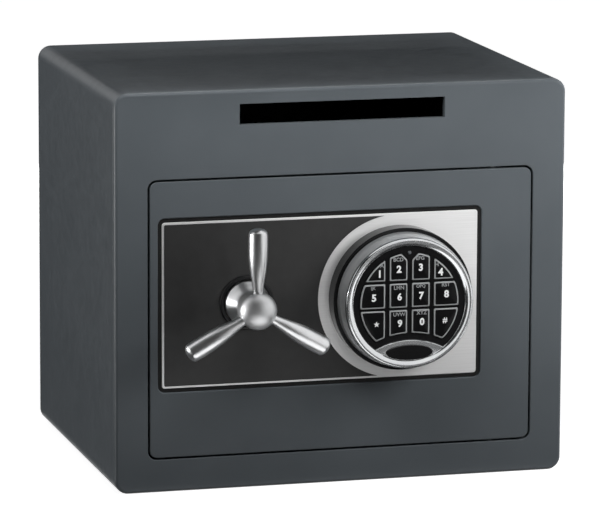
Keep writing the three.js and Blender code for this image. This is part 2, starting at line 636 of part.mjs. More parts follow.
// Battery pack under the lock
const batteryTop = lockBottom - BATTERY_GAP;
piece(boltWork, 'battery_pack',
  block(lockLeft, lockLeft + BATTERY_WIDTH, batteryTop - BATTERY_HEIGHT, batteryTop,
    DOOR_BACK - BATTERY_DEPTH, DOOR_BACK),
  batteryWrap);

// Handle escutcheon on the overlay, then the hub, spokes, spindle and crank about the handle's axis
piece(door, 'handle_escutcheon',
  cut(disc(0, 0, ESCUTCHEON_RADIUS, OVERLAY_FACE, OVERLAY_FACE + ESCUTCHEON_HEIGHT, 48),
    disc(0, 0, BOSS_RADIUS + 2 * FIT, -1, ESCUTCHEON_HEIGHT + 1, 48)),
  blackPlastic).position.set(HANDLE_X, PANEL_Y, 0);
const boreRadius = SPINDLE_RADIUS + FIT;
const boreEnd = BALL_OUT - SPOKE_ROOT_RADIUS - HUB_ROOF;
const hubBase = OVERLAY_FACE + FIT;
const domeSteps = 6;
const flare = BOSS_RADIUS - NECK_RADIUS;
const hubProfile = [];
for (let i = 0; i <= domeSteps; i += 1) {
  const angle = i / domeSteps * Math.PI / 2;
  hubProfile.push([BALL_RADIUS * Math.sin(angle), BALL_OUT + BALL_DOME * Math.cos(angle)]);
}
hubProfile.push(
  [0.985 * BALL_RADIUS, BALL_OUT - 0.35 * BALL_DOME],
  [0.93 * BALL_RADIUS, BALL_OUT - 0.7 * BALL_DOME],
  [NECK_RADIUS, BALL_OUT - BALL_DOME],
  [NECK_RADIUS + 0.4 * flare, 0.5 * BALL_OUT],
  [NECK_RADIUS + 0.8 * flare, 0.26 * BALL_OUT],
  [BOSS_RADIUS, ESCUTCHEON_HEIGHT + BOSS_LAND],
  [BOSS_RADIUS, hubBase],
  [boreRadius, hubBase],
  [boreRadius, boreEnd],
  [0, boreEnd]);
const spokeTurns = Array.from({ length: SPOKE_COUNT }, (_, i) => i * 2 * Math.PI / SPOKE_COUNT);
const sockets = spokeTurns.map((turn) => {
  const socketRadius = SPOKE_ROOT_RADIUS + FIT;
  const socket = new THREE.CylinderGeometry(socketRadius, socketRadius, 2 * BALL_RADIUS, 14);
  socket.translate(0, SPOKE_SEAT - FIT + BALL_RADIUS, 0).rotateZ(turn);
  return solid(socket.translate(0, 0, BALL_OUT));
});
piece(handle, 'handle_hub', cut(solid(turned(hubProfile, 28)), ...sockets), chrome);

// Spoke: a slim root that swells to a grip with a domed end, given by shares of its length and radii
const gripRise = SPOKE_GRIP_RADIUS - SPOKE_ROOT_RADIUS;
const spokeProfile = [[0, SPOKE_SEAT], [SPOKE_ROOT_RADIUS, SPOKE_SEAT]];
[[0.25, 0], [0.31, 0.12], [0.45, 0.5], [0.6, 0.82], [0.78, 0.96], [0.92, 1]].forEach(([share, rise]) => {
  spokeProfile.push([SPOKE_ROOT_RADIUS + rise * gripRise, share * SPOKE_LENGTH]);
});
[[0.94, 0.965], [0.77, 0.988], [0.43, 0.998], [0, 1]].forEach(([width, share]) => {
  spokeProfile.push([width * SPOKE_GRIP_RADIUS, share * SPOKE_LENGTH]);
});
const spokePoints = spokeProfile.map(([radius, along]) => new THREE.Vector2(radius, along));
const spokeBody = solid(new THREE.LatheGeometry(spokePoints, 16));
spokeTurns.forEach((turn, i) => {
  const spoke = piece(handle, `handle_spoke_${i + 1}`, spokeBody, chrome);
  spoke.position.z = BALL_OUT;
  spoke.rotation.z = turn;
});
piece(handle, 'handle_spindle', disc(0, 0, SPINDLE_RADIUS, CRANK_BACK, boreEnd - FIT), zincSteel);
const crankAngle = HANDLE_TURN / 2 * DEGREE;
const pinX = CRANK_RADIUS * Math.sin(crankAngle);
const pinY = CRANK_RADIUS * Math.cos(crankAngle);
const crankEye = CRANK_PIN + CRANK_LAND;
const crankArm = new THREE.BoxGeometry(2 * crankEye, CRANK_RADIUS, CRANK_THICKNESS);
crankArm.translate(0, CRANK_RADIUS / 2, (CRANK_FRONT + CRANK_BACK) / 2).rotateZ(-crankAngle);
piece(handle, 'handle_crank',
  cut(
    joined(
      disc(0, 0, CRANK_HUB, CRANK_BACK, CRANK_FRONT),
      solid(crankArm),
      disc(pinX, pinY, crankEye, CRANK_BACK, CRANK_FRONT, 24),
      disc(pinX, pinY, CRANK_PIN, CARRIAGE_BACK - CRANK_PIN_PROUD, CRANK_FRONT, 24)),
    disc(0, 0, SPINDLE_RADIUS + FIT, CRANK_BACK - 1, CRANK_FRONT + 1)),
  zincSteel);

// Keypad base: a dish with a rim, and a round wall that carries the circuit board
const faceFront = KEYPAD_HEIGHT - FACE_DEPTH;
const faceBack = faceFront - FACE_THICKNESS;
const keyFront = faceFront + KEY_PROUD;
const keyBack = keyFront - KEY_LENGTH;
const membraneFront = keyBack - KEY_TRAVEL - KEY_FLOOR_ROOM;
const membraneBack = membraneFront - MEMBRANE_THICKNESS;
const boardBack = membraneBack - BOARD_THICKNESS;
const housingInside = BEZEL_RADIUS - HOUSING_WALL;
piece(keypad, 'keypad_base', solid(turned([
  [CABLE_HOLE, 0],
  [KEYPAD_BASE_RADIUS, 0],
  [KEYPAD_BASE_RADIUS, BASE_RIM - BASE_CHAMFER],
  [KEYPAD_BASE_RADIUS - BASE_CHAMFER, BASE_RIM],
  [housingInside, BASE_RIM],
  [housingInside, BASE_FLOOR],
  [BASE_POST_RADIUS, BASE_FLOOR],
  [BASE_POST_RADIUS, boardBack],
  [BASE_POST_RADIUS - BASE_POST_WALL, boardBack],
  [BASE_POST_RADIUS - BASE_POST_WALL, BASE_FLOOR],
  [CABLE_HOLE, BASE_FLOOR],
  [CABLE_HOLE, 0],
], 40)), blackPlastic);

// Keypad housing: a chrome ring with a rolled bezel, a crescent across its foot and a seat for the badge
const crescentY = CRESCENT_TOP - CRESCENT_RADIUS;
const crescentFront = faceFront + CRESCENT_THICKNESS;
const ovalOutline = (grow) => new THREE.Shape().absellipse(
  0, BADGE_Y, BADGE_HALF_WIDTH + grow, BADGE_HALF_HEIGHT + grow, 0, 2 * Math.PI);
const faceSeat = FACE_RADIUS + FACE_SEAT;
const wallHeight = KEYPAD_HEIGHT - BEZEL_ROLL_HEIGHT - BASE_RIM;
const ringProfile = [
  [faceSeat + FIT, faceFront],
  [faceSeat + FIT, faceBack],
  [housingInside, faceBack],
  [housingInside, BASE_RIM],
  [BEZEL_RADIUS + BEZEL_FLARE, BASE_RIM],
  [BEZEL_RADIUS + 0.75 * BEZEL_FLARE, BASE_RIM + 0.35 * wallHeight],
  [BEZEL_RADIUS + 0.4 * BEZEL_FLARE, BASE_RIM + 0.7 * wallHeight],
];
const rollSteps = 8;
for (let i = 0; i <= rollSteps; i += 1) {
  const angle = i / rollSteps * Math.PI;
  const outside = angle < Math.PI / 2;
  const width = outside ? BEZEL_ROLL_OUT : BEZEL_RADIUS - BEZEL_ROLL_OUT - FACE_RADIUS;
  const height = outside ? BEZEL_ROLL_HEIGHT : FACE_DEPTH;
  ringProfile.push([
    BEZEL_RADIUS - BEZEL_ROLL_OUT + width * Math.cos(angle),
    KEYPAD_HEIGHT - height * (1 - Math.sin(angle)),
  ]);
}
ringProfile.push(ringProfile[0]);
const ring = solid(turned(ringProfile, 48));
const crescent = disc(0, 0, FACE_RADIUS + CRESCENT_LAP, faceFront, crescentFront, 64)
  .intersect(disc(0, crescentY, CRESCENT_RADIUS, faceFront - 1, crescentFront + 1, 96));
const badgeSeat = slab(ovalOutline(FIT), crescentFront, KEYPAD_HEIGHT + 1, 32);
piece(keypad, 'keypad_housing', cut(joined(ring, crescent), badgeSeat), chrome);
piece(keypad, 'keypad_badge',
  slab(ovalOutline(0), crescentFront, crescentFront + BADGE_THICKNESS, 32),
  blackPlastic);

// One key's solid between two depths: its grid cell, cut to the round field, to the arch below
// and to the corner that is left free for the light
function keyBody(column, row, grow, back, front) {
  const [left, right] = KEY_COLUMNS[column];
  const [bottom, top] = KEY_ROWS[row];
  const lampRoom = (KEY_LED_ROOM - grow * Math.SQRT2) * Math.SQRT2;
  const lampCorner = new THREE.BoxGeometry(lampRoom, lampRoom, front - back + 2);
  lampCorner.rotateZ(Math.PI / 4).translate(0, LED_Y, (front + back) / 2);
  const field = disc(0, 0, KEY_FIELD_RADIUS + grow, back, front, 72);
  const cell = block(left - grow, right + grow, bottom - grow, top + grow, back - 1, front + 1);
  const arch = disc(0, crescentY, CRESCENT_RADIUS + KEY_ARCH_GAP - grow, back - 1, front + 1, 120);
  return cut(field.intersect(cell), arch, solid(lampCorner));
}

const windows = [];
KEY_NAMES.forEach((names, row) => {
  names.forEach((name, column) => {
    piece(keypad, `key_${name}`, keyBody(column, row, 0, keyBack, keyFront), keyRubber);
    windows.push(keyBody(column, row, KEY_CLEARANCE, faceBack - 1, faceFront + 1));
  });
});
piece(keypad, 'keypad_face',
  cut(disc(0, 0, faceSeat, faceBack, faceFront, 64),
    ...windows,
    disc(0, LED_Y, LED_RADIUS + FIT, faceBack - 1, faceFront + 1, 16)),
  blackPlastic);
piece(keypad, 'keypad_led', disc(0, LED_Y, LED_RADIUS, faceBack, faceFront + LED_PROUD, 16), ledLens);
const boardRadius = BASE_POST_RADIUS + BOARD_OVERHANG;
piece(keypad, 'keypad_membrane', disc(0, 0, boardRadius, membraneBack, membraneFront, 48), siliconeRubber);
piece(keypad, 'keypad_board', disc(0, 0, boardRadius, boardBack, membraneBack, 48), boardGreen);

export default safe;
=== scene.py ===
# %% [markdown]
# A deposit safe, dressed for the camera.
# The safe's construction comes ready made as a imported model: every sheet, bolt and key stands in it at its
# real size. This lesson gives those parts their finishes, and lays finer surfaces over the ones that the eye
# meets first: the painted front, the control panel, the spoked handle and the keypad.

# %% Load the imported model
import json
import math

import bmesh
import bpy
import numpy as np
from mathutils import Matrix, Vector


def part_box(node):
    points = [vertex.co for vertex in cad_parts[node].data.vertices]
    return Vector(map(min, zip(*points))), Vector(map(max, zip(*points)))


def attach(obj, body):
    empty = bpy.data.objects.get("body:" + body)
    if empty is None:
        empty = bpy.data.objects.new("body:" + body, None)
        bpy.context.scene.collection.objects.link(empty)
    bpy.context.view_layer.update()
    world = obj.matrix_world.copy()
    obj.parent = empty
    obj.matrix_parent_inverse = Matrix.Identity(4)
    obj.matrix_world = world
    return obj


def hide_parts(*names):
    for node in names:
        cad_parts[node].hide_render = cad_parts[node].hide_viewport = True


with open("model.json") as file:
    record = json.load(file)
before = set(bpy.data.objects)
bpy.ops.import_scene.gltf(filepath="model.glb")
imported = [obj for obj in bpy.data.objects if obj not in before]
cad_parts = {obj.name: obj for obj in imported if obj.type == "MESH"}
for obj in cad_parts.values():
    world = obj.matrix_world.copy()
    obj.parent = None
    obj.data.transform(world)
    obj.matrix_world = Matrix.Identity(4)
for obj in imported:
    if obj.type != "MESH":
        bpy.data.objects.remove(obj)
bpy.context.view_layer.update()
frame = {"nodes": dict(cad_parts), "record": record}

MM = 0.001
FRONT_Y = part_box("front_frame")[0].y
BODY_OF = {node: body for body, nodes in frame["record"]["behaviour"]["bodies"].items() for node in nodes}
SLOT_OF = {part["node"]: part["material_slot"] for part in frame["record"]["subparts"]}

# %% [markdown]
# The pieces are drawn in the front elevation, as a draughtsman would: X to the right, Z up, and OUT towards
# the person who stands at the safe. OUT is zero on the front face. One function turns such points into the
# world, where the front face looks along minus Y.


# %% Front elevation
def stand_up(points):
    """Elevation points (x, z, out) in metres become world points (x, front - out, z)."""
    points = np.asarray(points, dtype=float)
    return np.stack([points[..., 0], FRONT_Y - points[..., 2], points[..., 1]], axis=-1)


def extent(node):
    """A CAD node's sides in the front elevation: left, right, bottom, top, back and front, in metres."""
    low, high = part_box(node)
    return low.x, high.x, low.z, high.z, FRONT_Y - high.y, FRONT_Y - low.y


def middle(node):
    """The middle of a CAD node in the front elevation, as x and z."""
    left, right, bottom, top, _, _ = extent(node)
    return np.array([left + right, bottom + top]) / 2


HANDLE = middle("handle_spindle")
KEYPAD = middle("keypad_board")
print("handle axis", HANDLE.round(4), "and keypad axis", KEYPAD.round(4))

# %% [markdown]
# The camera stands to the left of the safe and a little above it, far away with a long lens, so the upright
# edges stay nearly parallel. Its angles were found by matching the safe's corners in the picture. A camera
# looks down its own -Z axis, so it is rolled about Z, raised about X from looking straight down, and swung
# round the safe about the world's Z.

# %% Camera
PICTURE_WIDTH = 611
CAMERA_AZIMUTH = 15.405
CAMERA_ELEVATION = 10.566
CAMERA_ROLL = 0.259
CAMERA_DISTANCE = 3.46326
FOCAL_PIXELS = 4664.68
SENSOR_WIDTH = 36.0
SHIFT_PIXELS = 1.5
AIM_X = -0.02706
AIM_Z = 0.171785
FARTHEST_SEEN = 50


def add_object(name, data):
    """A new object of that name for the mesh, lamp or camera in data, linked to the scene."""
    thing = bpy.data.objects.new(name, data)
    bpy.context.scene.collection.objects.link(thing)
    return thing


azimuth, elevation, roll = (math.radians(a) for a in (CAMERA_AZIMUTH, CAMERA_ELEVATION, CAMERA_ROLL))
turn = (Matrix.Rotation(-azimuth, 3, "Z") @ Matrix.Rotation(math.pi / 2 - elevation, 3, "X")
        @ Matrix.Rotation(roll, 3, "Z"))
eye = Vector((AIM_X, FRONT_Y, AIM_Z)) + turn.col[2] * CAMERA_DISTANCE
camera_data = bpy.data.cameras.new("studio_camera")
camera_data.sensor_width = SENSOR_WIDTH
camera_data.lens = FOCAL_PIXELS / PICTURE_WIDTH * SENSOR_WIDTH
camera_data.shift_x = -SHIFT_PIXELS / PICTURE_WIDTH
camera_data.shift_y = -SHIFT_PIXELS / PICTURE_WIDTH
camera_data.clip_end = FARTHEST_SEEN
camera = add_object("studio_camera", camera_data)
camera.matrix_world = Matrix.Translation(eye) @ turn.to_4x4()
bpy.context.scene.camera = camera
print(f"lens {camera_data.lens:.1f} mm, camera at", [round(v, 3) for v in eye])

# %% [markdown]
# A shader tree is a list of small boxes and wires. One function adds a box, sets its knobs and plugs its
# wires. Colours are written as the hex values that a paint chart gives, and are turned to linear light once.
# No real surface is quite even: its tone, its gloss and its height each wander a little, at a size that tells
# how it was made. So every finish below is one shader over three noises.


# %% Shader helpers
PATTERN_MIDDLE = {"From Min": 0.3, "From Max": 0.7}     # nearly all of a noise lies between these two


def linear(hex_code):
    """sRGB hex to linear: v / 12.92 below 0.04045, and ((v + 0.055) / 1.055) to the 2.4 above it."""
    parts = np.array([int(hex_code[i:i + 2], 16) for i in (1, 3, 5)]) / 255
    return (*np.where(parts <= 0.04045, parts / 12.92, ((parts + 0.055) / 1.055) ** 2.4), 1.0)


def add_node(tree, kind, inputs=None, **settings):
    """Add a node; inputs maps a socket's name or number to a value, or to (node, output) for a wire."""
    node = tree.nodes.new(kind)
    for name, value in settings.items():
        setattr(node, name, value)
    for key, value in (inputs or {}).items():
        socket = node.inputs[key]
        if isinstance(value, tuple) and isinstance(value[0], bpy.types.Node):
            tree.links.new(value[0].outputs[value[1]], socket)
        else:
            socket.default_value = value
    return node


def empty_tree(owner):
    """The node tree of a material or a world, cleared."""
    owner.use_nodes = True
    owner.node_tree.nodes.clear()
    return owner.node_tree


def wandering_finish(name, plain, dark, light, roughness, depth_mm, sizes_mm, details=(3, 3, 3)):
    """A material whose tone, roughness and relief each follow a noise in object space. A size is that of one
    feature, the same all ways or given along X, Y and Z. plain holds the values of the shader's sockets."""
    material = bpy.data.materials.new(name)
    tree = empty_tree(material)
    place = add_node(tree, "ShaderNodeTexCoord")
    noises = []
    for size, detail in zip(sizes_mm, details):
        cells = add_node(tree, "ShaderNodeMapping", {
            "Vector": (place, "Object"), "Scale": tuple(1 / (np.broadcast_to(size, 3) * MM))})
        noises.append(add_node(tree, "ShaderNodeTexNoise", {
            "Vector": (cells, "Vector"), "Scale": 1.0, "Detail": detail}))
    share = add_node(tree, "ShaderNodeMapRange", {"Value": (noises[0], "Fac"), **PATTERN_MIDDLE})
    tone = add_node(tree, "ShaderNodeMix", {
        0: (share, "Result"), 6: linear(dark), 7: linear(light)}, data_type="RGBA")
    gloss = add_node(tree, "ShaderNodeMapRange", {
        "Value": (noises[1], "Fac"), **PATTERN_MIDDLE, "To Min": roughness[0], "To Max": roughness[1]})
    relief = add_node(tree, "ShaderNodeBump", {"Height": (noises[2], "Fac"), "Distance": depth_mm * MM})
    shader = add_node(tree, "ShaderNodeBsdfPrincipled", plain | {
        "Base Color": (tone, 2), "Roughness": (gloss, "Result"), "Normal": (relief, "Normal")})
    add_node(tree, "ShaderNodeOutputMaterial", {"Surface": (shader, "BSDF")})
    return material


print("shader helpers ready")

# %% [markdown]
# The safe is sheet steel under a charcoal polyester powder coat. The powder melts in an oven and sets with a
# faint orange peel, so a smooth bump a millimetre or so across, a slow drift of tone and a roughness that
# wanders a little say more about it than the colour does.

# %% Powder coats
TONE_DRIFT_MM = 45
GLOSS_DRIFT_MM = 9
ORANGE_PEEL_MM = 1.4
ROUGHNESS_DRIFT = (-0.03, 0.04)


def powder_coat(name, dark, light, roughness, depth_mm, specular=0.35):
    """Baked powder coat: slow drift of tone, orange peel, and a roughness that wanders about its middle."""
    plain = {"IOR": 1.5, "Specular IOR Level": specular}
    rough = [roughness + drift for drift in ROUGHNESS_DRIFT]
    sizes = (TONE_DRIFT_MM, GLOSS_DRIFT_MM, ORANGE_PEEL_MM)
    return wandering_finish(name, plain, dark, light, rough, depth_mm, sizes)


# Charcoal powder coat: an even dark grey, whose low gloss spreads each highlight softly over the sheet.
charcoal_coat = powder_coat("charcoal_powder_coat", "#505559", "#54595d", 0.42, 0.010, 0.2)
# The chute is coated near black as painted shade, so the slot looks as dark as the shade inside it.
slot_shade_coat = powder_coat("slot_shade_black_coat", "#060606", "#080808", 0.85, 0.014, 0.05)
print("powder coats:", charcoal_coat.name, slot_shade_coat.name)

# %% [markdown]
# The control panel is brushed stainless steel. An abrasive belt leaves fine parallel lines, long in the
# brushing direction and a few tenths of a millimetre apart, which stretch the highlights across them. The
# zinc plated hinges and bolts are duller, with a cloudy bloom, and the lock's case is a blasted casting.


# %% Bare and plated metals
def metal(name, dark, light, roughness, grain_mm, depth_mm, mirror=1.0):
    """Metal whose grain sets tone and relief together, with gloss on a slightly coarser noise. A share of
    mirror below 1 leaves the rest to scatter evenly, as deep brushing or tumbling does."""
    grain = np.asarray(grain_mm)
    return wandering_finish(name, {"Metallic": mirror}, dark, light, roughness, depth_mm,
                            (grain, 1.7 * grain, grain), (2, 3, 2))


# Brushed stainless steel: fine level lines, and a pale sheen in place of a clear image.
brushed_stainless = metal("brushed_stainless_steel", "#e2e2e2", "#ebebeb", (0.30, 0.38), (40, 2, 0.45),
                          0.006, 0.5)
# Polished chrome is a soft mirror: the keypad's crescent and the roll of its ring.
polished_chrome = metal("polished_chrome", "#d6d8da", "#e0e2e3", (0.13, 0.19), 14, 0.001)
# Satin chrome is dulled by buffing: the spokes, and the boss behind the ball.
satin_chrome = metal("satin_chrome", "#dcddde", "#e5e6e7", (0.29, 0.35), 9, 0.002)
# Blasted chrome is duller still: the ball in the handle's middle, which shows soft patches and no image.
blasted_chrome = metal("blasted_chrome", "#d0d1d2", "#d9dadb", (0.42, 0.48), 9, 0.002)
# Tumbled chrome scatters a fifth of its light evenly: the side of the keypad's ring.
tumbled_chrome = metal("tumbled_chrome", "#d6d8da", "#e0e2e3", (0.28, 0.34), 9, 0.002, 0.8)
print("metals:", ", ".join(finish.name for finish in (brushed_stainless, polished_chrome, satin_chrome,
                                                     blasted_chrome, tumbled_chrome)))

# %% [markdown]
# The rest is plastic, rubber, felt and ink. The overlay is a satin polycarbonate film, the keypad is glossy
# ABS with keys of lacquered silicone, and the marks on the keys are printed. A mould, a roller or a screen
# gives each its skin, so a fine noise in gloss and relief, over a nearly even colour, tells enough of it.


# %% Plastics, rubber, felt and inks
def moulding(name, dark, light, roughness, grain_mm, depth_mm, sheen=0.0, specular=0.35):
    """Moulded or printed surface: a fine skin sets gloss and relief, over a nearly even colour that drifts
    on a noise nine times as large."""
    plain = {"IOR": 1.49, "Specular IOR Level": specular, "Sheen Weight": sheen}
    grain = np.asarray(grain_mm)
    return wandering_finish(name, plain, dark, light, roughness, depth_mm, (9 * grain, grain, grain))


# Embossed polycarbonate film: near black, with a soft sheen and no image in it.
overlay_film = moulding("satin_polycarbonate_film", "#2b2b2b", "#2f2f2f", (0.36, 0.42), 0.8, 0.002)
# ABS from a polished mould: black, with clear reflections that waver a little.
gloss_abs = moulding("glossy_black_abs", "#0c0c0d", "#0f0f10", (0.14, 0.22), 1.6, 0.002, specular=0.2)
# ABS from an etched mould: black, with blurred highlights.
satin_abs = moulding("satin_black_abs", "#101011", "#141415", (0.32, 0.42), 0.9, 0.006)
# Moulded silicone under a clear lacquer: deep black keys with a wet gloss.
key_silicone = moulding("lacquered_key_silicone", "#070708", "#0a0a0b", (0.16, 0.24), 1.2, 0.002,
                        specular=0.15)
# Screen printed inks: opaque, flat in tone and half glossy. Grey is for lines and letters, white for digits.
grey_ink = moulding("grey_key_ink", "#8d8f90", "#989a9b", (0.3, 0.4), 0.6, 0.002)
white_ink = moulding("white_key_ink", "#e6e7e7", "#f0f0f0", (0.3, 0.4), 0.6, 0.002)
# Moulded rubber: matt black, with hardly a highlight.
plug_rubber = moulding("black_plug_rubber", "#161616", "#1d1d1d", (0.7, 0.85), 0.8, 0.03)

FINISHES = {
    "charcoal_paint": charcoal_coat,
    # Inner powder coat: darker and flatter than the coat outside.
    "inner_paint": powder_coat("dark_inner_powder_coat", "#3c3f41", "#424547", 0.55, 0.014),
    "brushed_plate": brushed_stainless,
    "black_satin": overlay_film,
    "chrome": polished_chrome,
    # Bright zinc plate: bluish grey, with soft clouds of more and of less gloss.
    "zinc_steel": metal("bright_zinc_plate", "#a9adb2", "#bcbfbf", (0.26, 0.40), 7, 0.004),
    "black_plastic": satin_abs,
    "key_black": key_silicone,
    # Moulded silicone: a soft grey without gloss.
    "silicone_rubber": moulding("grey_silicone_membrane", "#585b5e", "#626568", (0.6, 0.75), 1.5, 0.02),
    # Solder mask: green lacquer, whose tone and gloss change over the copper below it.
    "circuit_board": moulding("green_solder_mask", "#134f30", "#1d6a42", (0.3, 0.5), (2.5, 2.5, 9), 0.03),
    # Polished lens: smoked grey, with a sharp highlight.
    "led_lens": moulding("smoked_lamp_lens", "#55585b", "#606467", (0.08, 0.14), 1.0, 0.002),
    "plug_rubber": plug_rubber,
    # Needled felt: fibres about 0.3 mm thick, drawn 1.2 mm long so that they show.
    "mat_felt": moulding("needled_grey_felt", "#333437", "#47484b", (0.9, 1.0), (1.2, 0.35, 0.35), 0.25, 0.4),
    # Blasted zinc casting: dull grey, with a fine grit that breaks up each highlight.
    "lock_casting": metal("blasted_zinc_casting", "#8b8e91", "#97999b", (0.46, 0.58), 0.9, 0.02),
    # Shrink wrap: a dark film, half glossy, with shallow creases.
    "battery_wrap": moulding("battery_shrink_wrap", "#2a2e33", "#343940", (0.25, 0.45), (3, 8, 8), 0.03),
}
print(len(FINISHES), "slots have a finish")

# %% [markdown]
# Every imported node first gets the finish of its slot. Later cells lay finer surfaces over the nodes.

# %% Finish the imported nodes
# The chute and its baffle take the near black coat of painted shade in place of their slot's finish.
CHUTE_NODES = ("deposit_chute", "chute_baffle")
for node, packed in frame["nodes"].items():
    packed.data.materials.clear()
    packed.data.materials.append(slot_shade_coat if node in CHUTE_NODES else FINISHES[SLOT_OF[node]])
print(len(frame["nodes"]), "nodes finished")

# %% [markdown]
# A product photographer stands the safe on a white sweep. The floor and the world are plain white to the
# camera and in mirrors, and darker for the light that they throw back, so the paint keeps its depth.


# %% Floor and world
FLOOR_SIDE = 18.0
FLOOR_DROP = 0.0003
NEAR_GLOW = "#ececec"
GLOW_REACH = (0.45, 1.5)
PAINT_SHARE = 0.55
THROWN_SHADE = "#5c5c5c"
AMBIENT = 0.02
WHITE = linear("#ffffff")


def by_ray(tree, thrown, seen):
    """Mix: seen where the camera, a mirror or glass looks, thrown where diffuse light comes from it."""
    path = add_node(tree, "ShaderNodeLightPath")
    either = add_node(tree, "ShaderNodeMath", {
        0: (path, "Is Camera Ray"), 1: (path, "Is Glossy Ray")}, operation="MAXIMUM")
    direct = add_node(tree, "ShaderNodeMath", {
        0: (either, "Value"), 1: (path, "Is Transmission Ray")}, operation="MAXIMUM")
    return add_node(tree, "ShaderNodeMixShader", {0: (direct, "Value"), 1: thrown, 2: seen})


def white_sweep(name):
    """Floor paint. Seen directly it glows, NEAR_GLOW at the safe and white beyond GLOW_REACH, and a
    PAINT_SHARE of the lamps' light is added, which the safe's shadow takes away. It throws back less."""
    material = bpy.data.materials.new(name)
    tree = empty_tree(material)
    place = add_node(tree, "ShaderNodeTexCoord")
    away = add_node(tree, "ShaderNodeVectorMath", {0: (place, "Object")}, operation="LENGTH")
    far = add_node(tree, "ShaderNodeMapRange", {
        "Value": (away, "Value"), "From Min": GLOW_REACH[0], "From Max": GLOW_REACH[1]})
    glow = add_node(tree, "ShaderNodeMix", {
        0: (far, "Result"), 6: linear(NEAR_GLOW), 7: WHITE}, data_type="RGBA")
    painted = add_node(tree, "ShaderNodeBsdfDiffuse", {"Color": (PAINT_SHARE, PAINT_SHARE, PAINT_SHARE, 1.0)})
    thrown = add_node(tree, "ShaderNodeBsdfDiffuse", {"Color": linear(THROWN_SHADE)})
    bright = add_node(tree, "ShaderNodeEmission", {"Color": (glow, 2)})
    seen = add_node(tree, "ShaderNodeAddShader", {0: (painted, "BSDF"), 1: (bright, "Emission")})
    mix = by_ray(tree, (thrown, "BSDF"), (seen, "Shader"))
    add_node(tree, "ShaderNodeOutputMaterial", {"Surface": (mix, "Shader")})
    return material


def rectangle(name, width, height, material):
    """A mesh of one flat rectangle about the origin, square to Z."""
    mesh = bpy.data.meshes.new(name)
    corners = [(-1, -1), (1, -1), (1, 1), (-1, 1)]
    mesh.from_pydata([(x * width / 2, y * height / 2, 0) for x, y in corners], [], [(0, 1, 2, 3)])
    mesh.materials.append(material)
    return mesh


floor_mesh = rectangle("studio_floor", FLOOR_SIDE, FLOOR_SIDE, white_sweep("white_studio_sweep"))
floor_mesh.transform(Matrix.Translation((0, 0, -FLOOR_DROP)))
floor = add_object("studio_floor", floor_mesh)

world = bpy.data.worlds.new("studio_world")
sky = empty_tree(world)
dim = add_node(sky, "ShaderNodeBackground", {"Color": WHITE, "Strength": AMBIENT})
white = add_node(sky, "ShaderNodeBackground", {"Color": WHITE})
both = by_ray(sky, (dim, "Background"), (white, "Background"))
add_node(sky, "ShaderNodeOutputWorld", {"Surface": (both, "Shader")})
bpy.context.scene.world = world
bpy.context.scene.view_settings.view_transform = "Standard"
print("floor", FLOOR_SIDE, "m wide, ambient light", AMBIENT)

# %% [markdown]
# One lamp stands high on the right, a broad one on the left, and a small one close above the front, which
# grazes it from the top down. Two more light the back and the right side. All are cross polarised, so no lamp
# shows in the metal, and a flag shades the top. What the metal does show is chosen with boards: grey and
# black ones give the handle its dark stripes and the keypad its depth, and white ones that glow by
# themselves, seen only in reflections, paint the gleams along the round edges.

# %% Lamps and boards
SAFE_FRONT = (0, -0.13, 0.15)
SAFE_MIDDLE = (0, 0, 0.15)
# Each lamp: its place, its aim, its width and height in metres, and its watts.
LAMPS = {
    "key_softbox": ((0.45, -0.45, 0.42), SAFE_FRONT, 0.3, 0.3, 3.6),
    "left_softbox": ((-1.2, 0.1, 0.5), SAFE_FRONT, 1.1, 1.1, 8.5),
    "grazing_softbox": ((-0.12, -0.30, 0.52), SAFE_FRONT, 0.25, 0.25, 1.6),
    "back_softbox": ((0.3, 1.3, 0.17), SAFE_MIDDLE, 0.8, 0.3, 8),
    "right_softbox": ((1.3, 0.15, 0.17), SAFE_MIDDLE, 0.6, 0.3, 5),
}
# Each board: its place, its aim, its width and height in metres, its shade, and the strength of its own glow.
# A board that aims at UP lies flat.
UP = None
BLACK = "#060606"
BOARDS = {
    "top_flag": ((0, -0.045, 0.325), UP, 0.36, 0.215, BLACK),
    "handle_card": ((-0.12, -0.31, 0.20), (-0.04, -0.17, 0.16), 0.30, 0.33, "#383838"),
    "boss_card": ((-0.10, -0.165, 0.28), (-0.10, -0.165, 0), 0.08, 0.06, "#1c1c1c"),
    "left_card": ((-0.62, -0.62, 0.78), (-0.07, -0.16, 0.14), 0.5, 0.5, BLACK),
    "keypad_card": ((0.165, -0.66, 0.06), (0.07, -0.17, 0.15), 0.2, 0.1, "#6c6c6c"),
    "keypad_floor_card": ((0.15, -0.50, 0.002), UP, 0.18, 0.32, "#848484"),
    "front_floor_card": ((-0.02, -0.18, 0.002), UP, 0.5, 0.08, "#383838"),
    "ring_floor_card": ((0.57, -0.33, 0.003), UP, 0.62, 0.22, "#202020"),
    "crescent_floor_card": ((0.16, -0.28, 0.003), UP, 0.2, 0.12, "#484848"),
    "back_card": ((0.1, 0.9, 0.6), (0.1, 0, 0.6), 2.2, 1.2, BLACK),
    "back_floor_card": ((-0.776, 0.6, 0.002), UP, 1.2, 2.0, BLACK),
    # Painted highlights: these white boards glow by themselves, brighter than white, and draw gleams in
    # reflections.
    "top_glint_glow": ((0.1, 0.2, 0.75), (0, -0.13, 0.26), 0.6, 0.25, "#ffffff", 6),
    "left_glint_glow": ((-1.0, 0.08, 0.12), (-0.17, -0.13, 0.12), 0.5, 0.24, "#ffffff", 18),
    "corner_glint_glow": ((-0.4, 0.85, 0.53), (-0.17, 0, 0.27), 0.5, 0.36, "#ffffff", 1.4),
}


def toward(place, target):
    """Turn that points an object's -Z axis from place to target."""
    return (Vector(target) - Vector(place)).to_track_quat("-Z", "Y").to_euler()


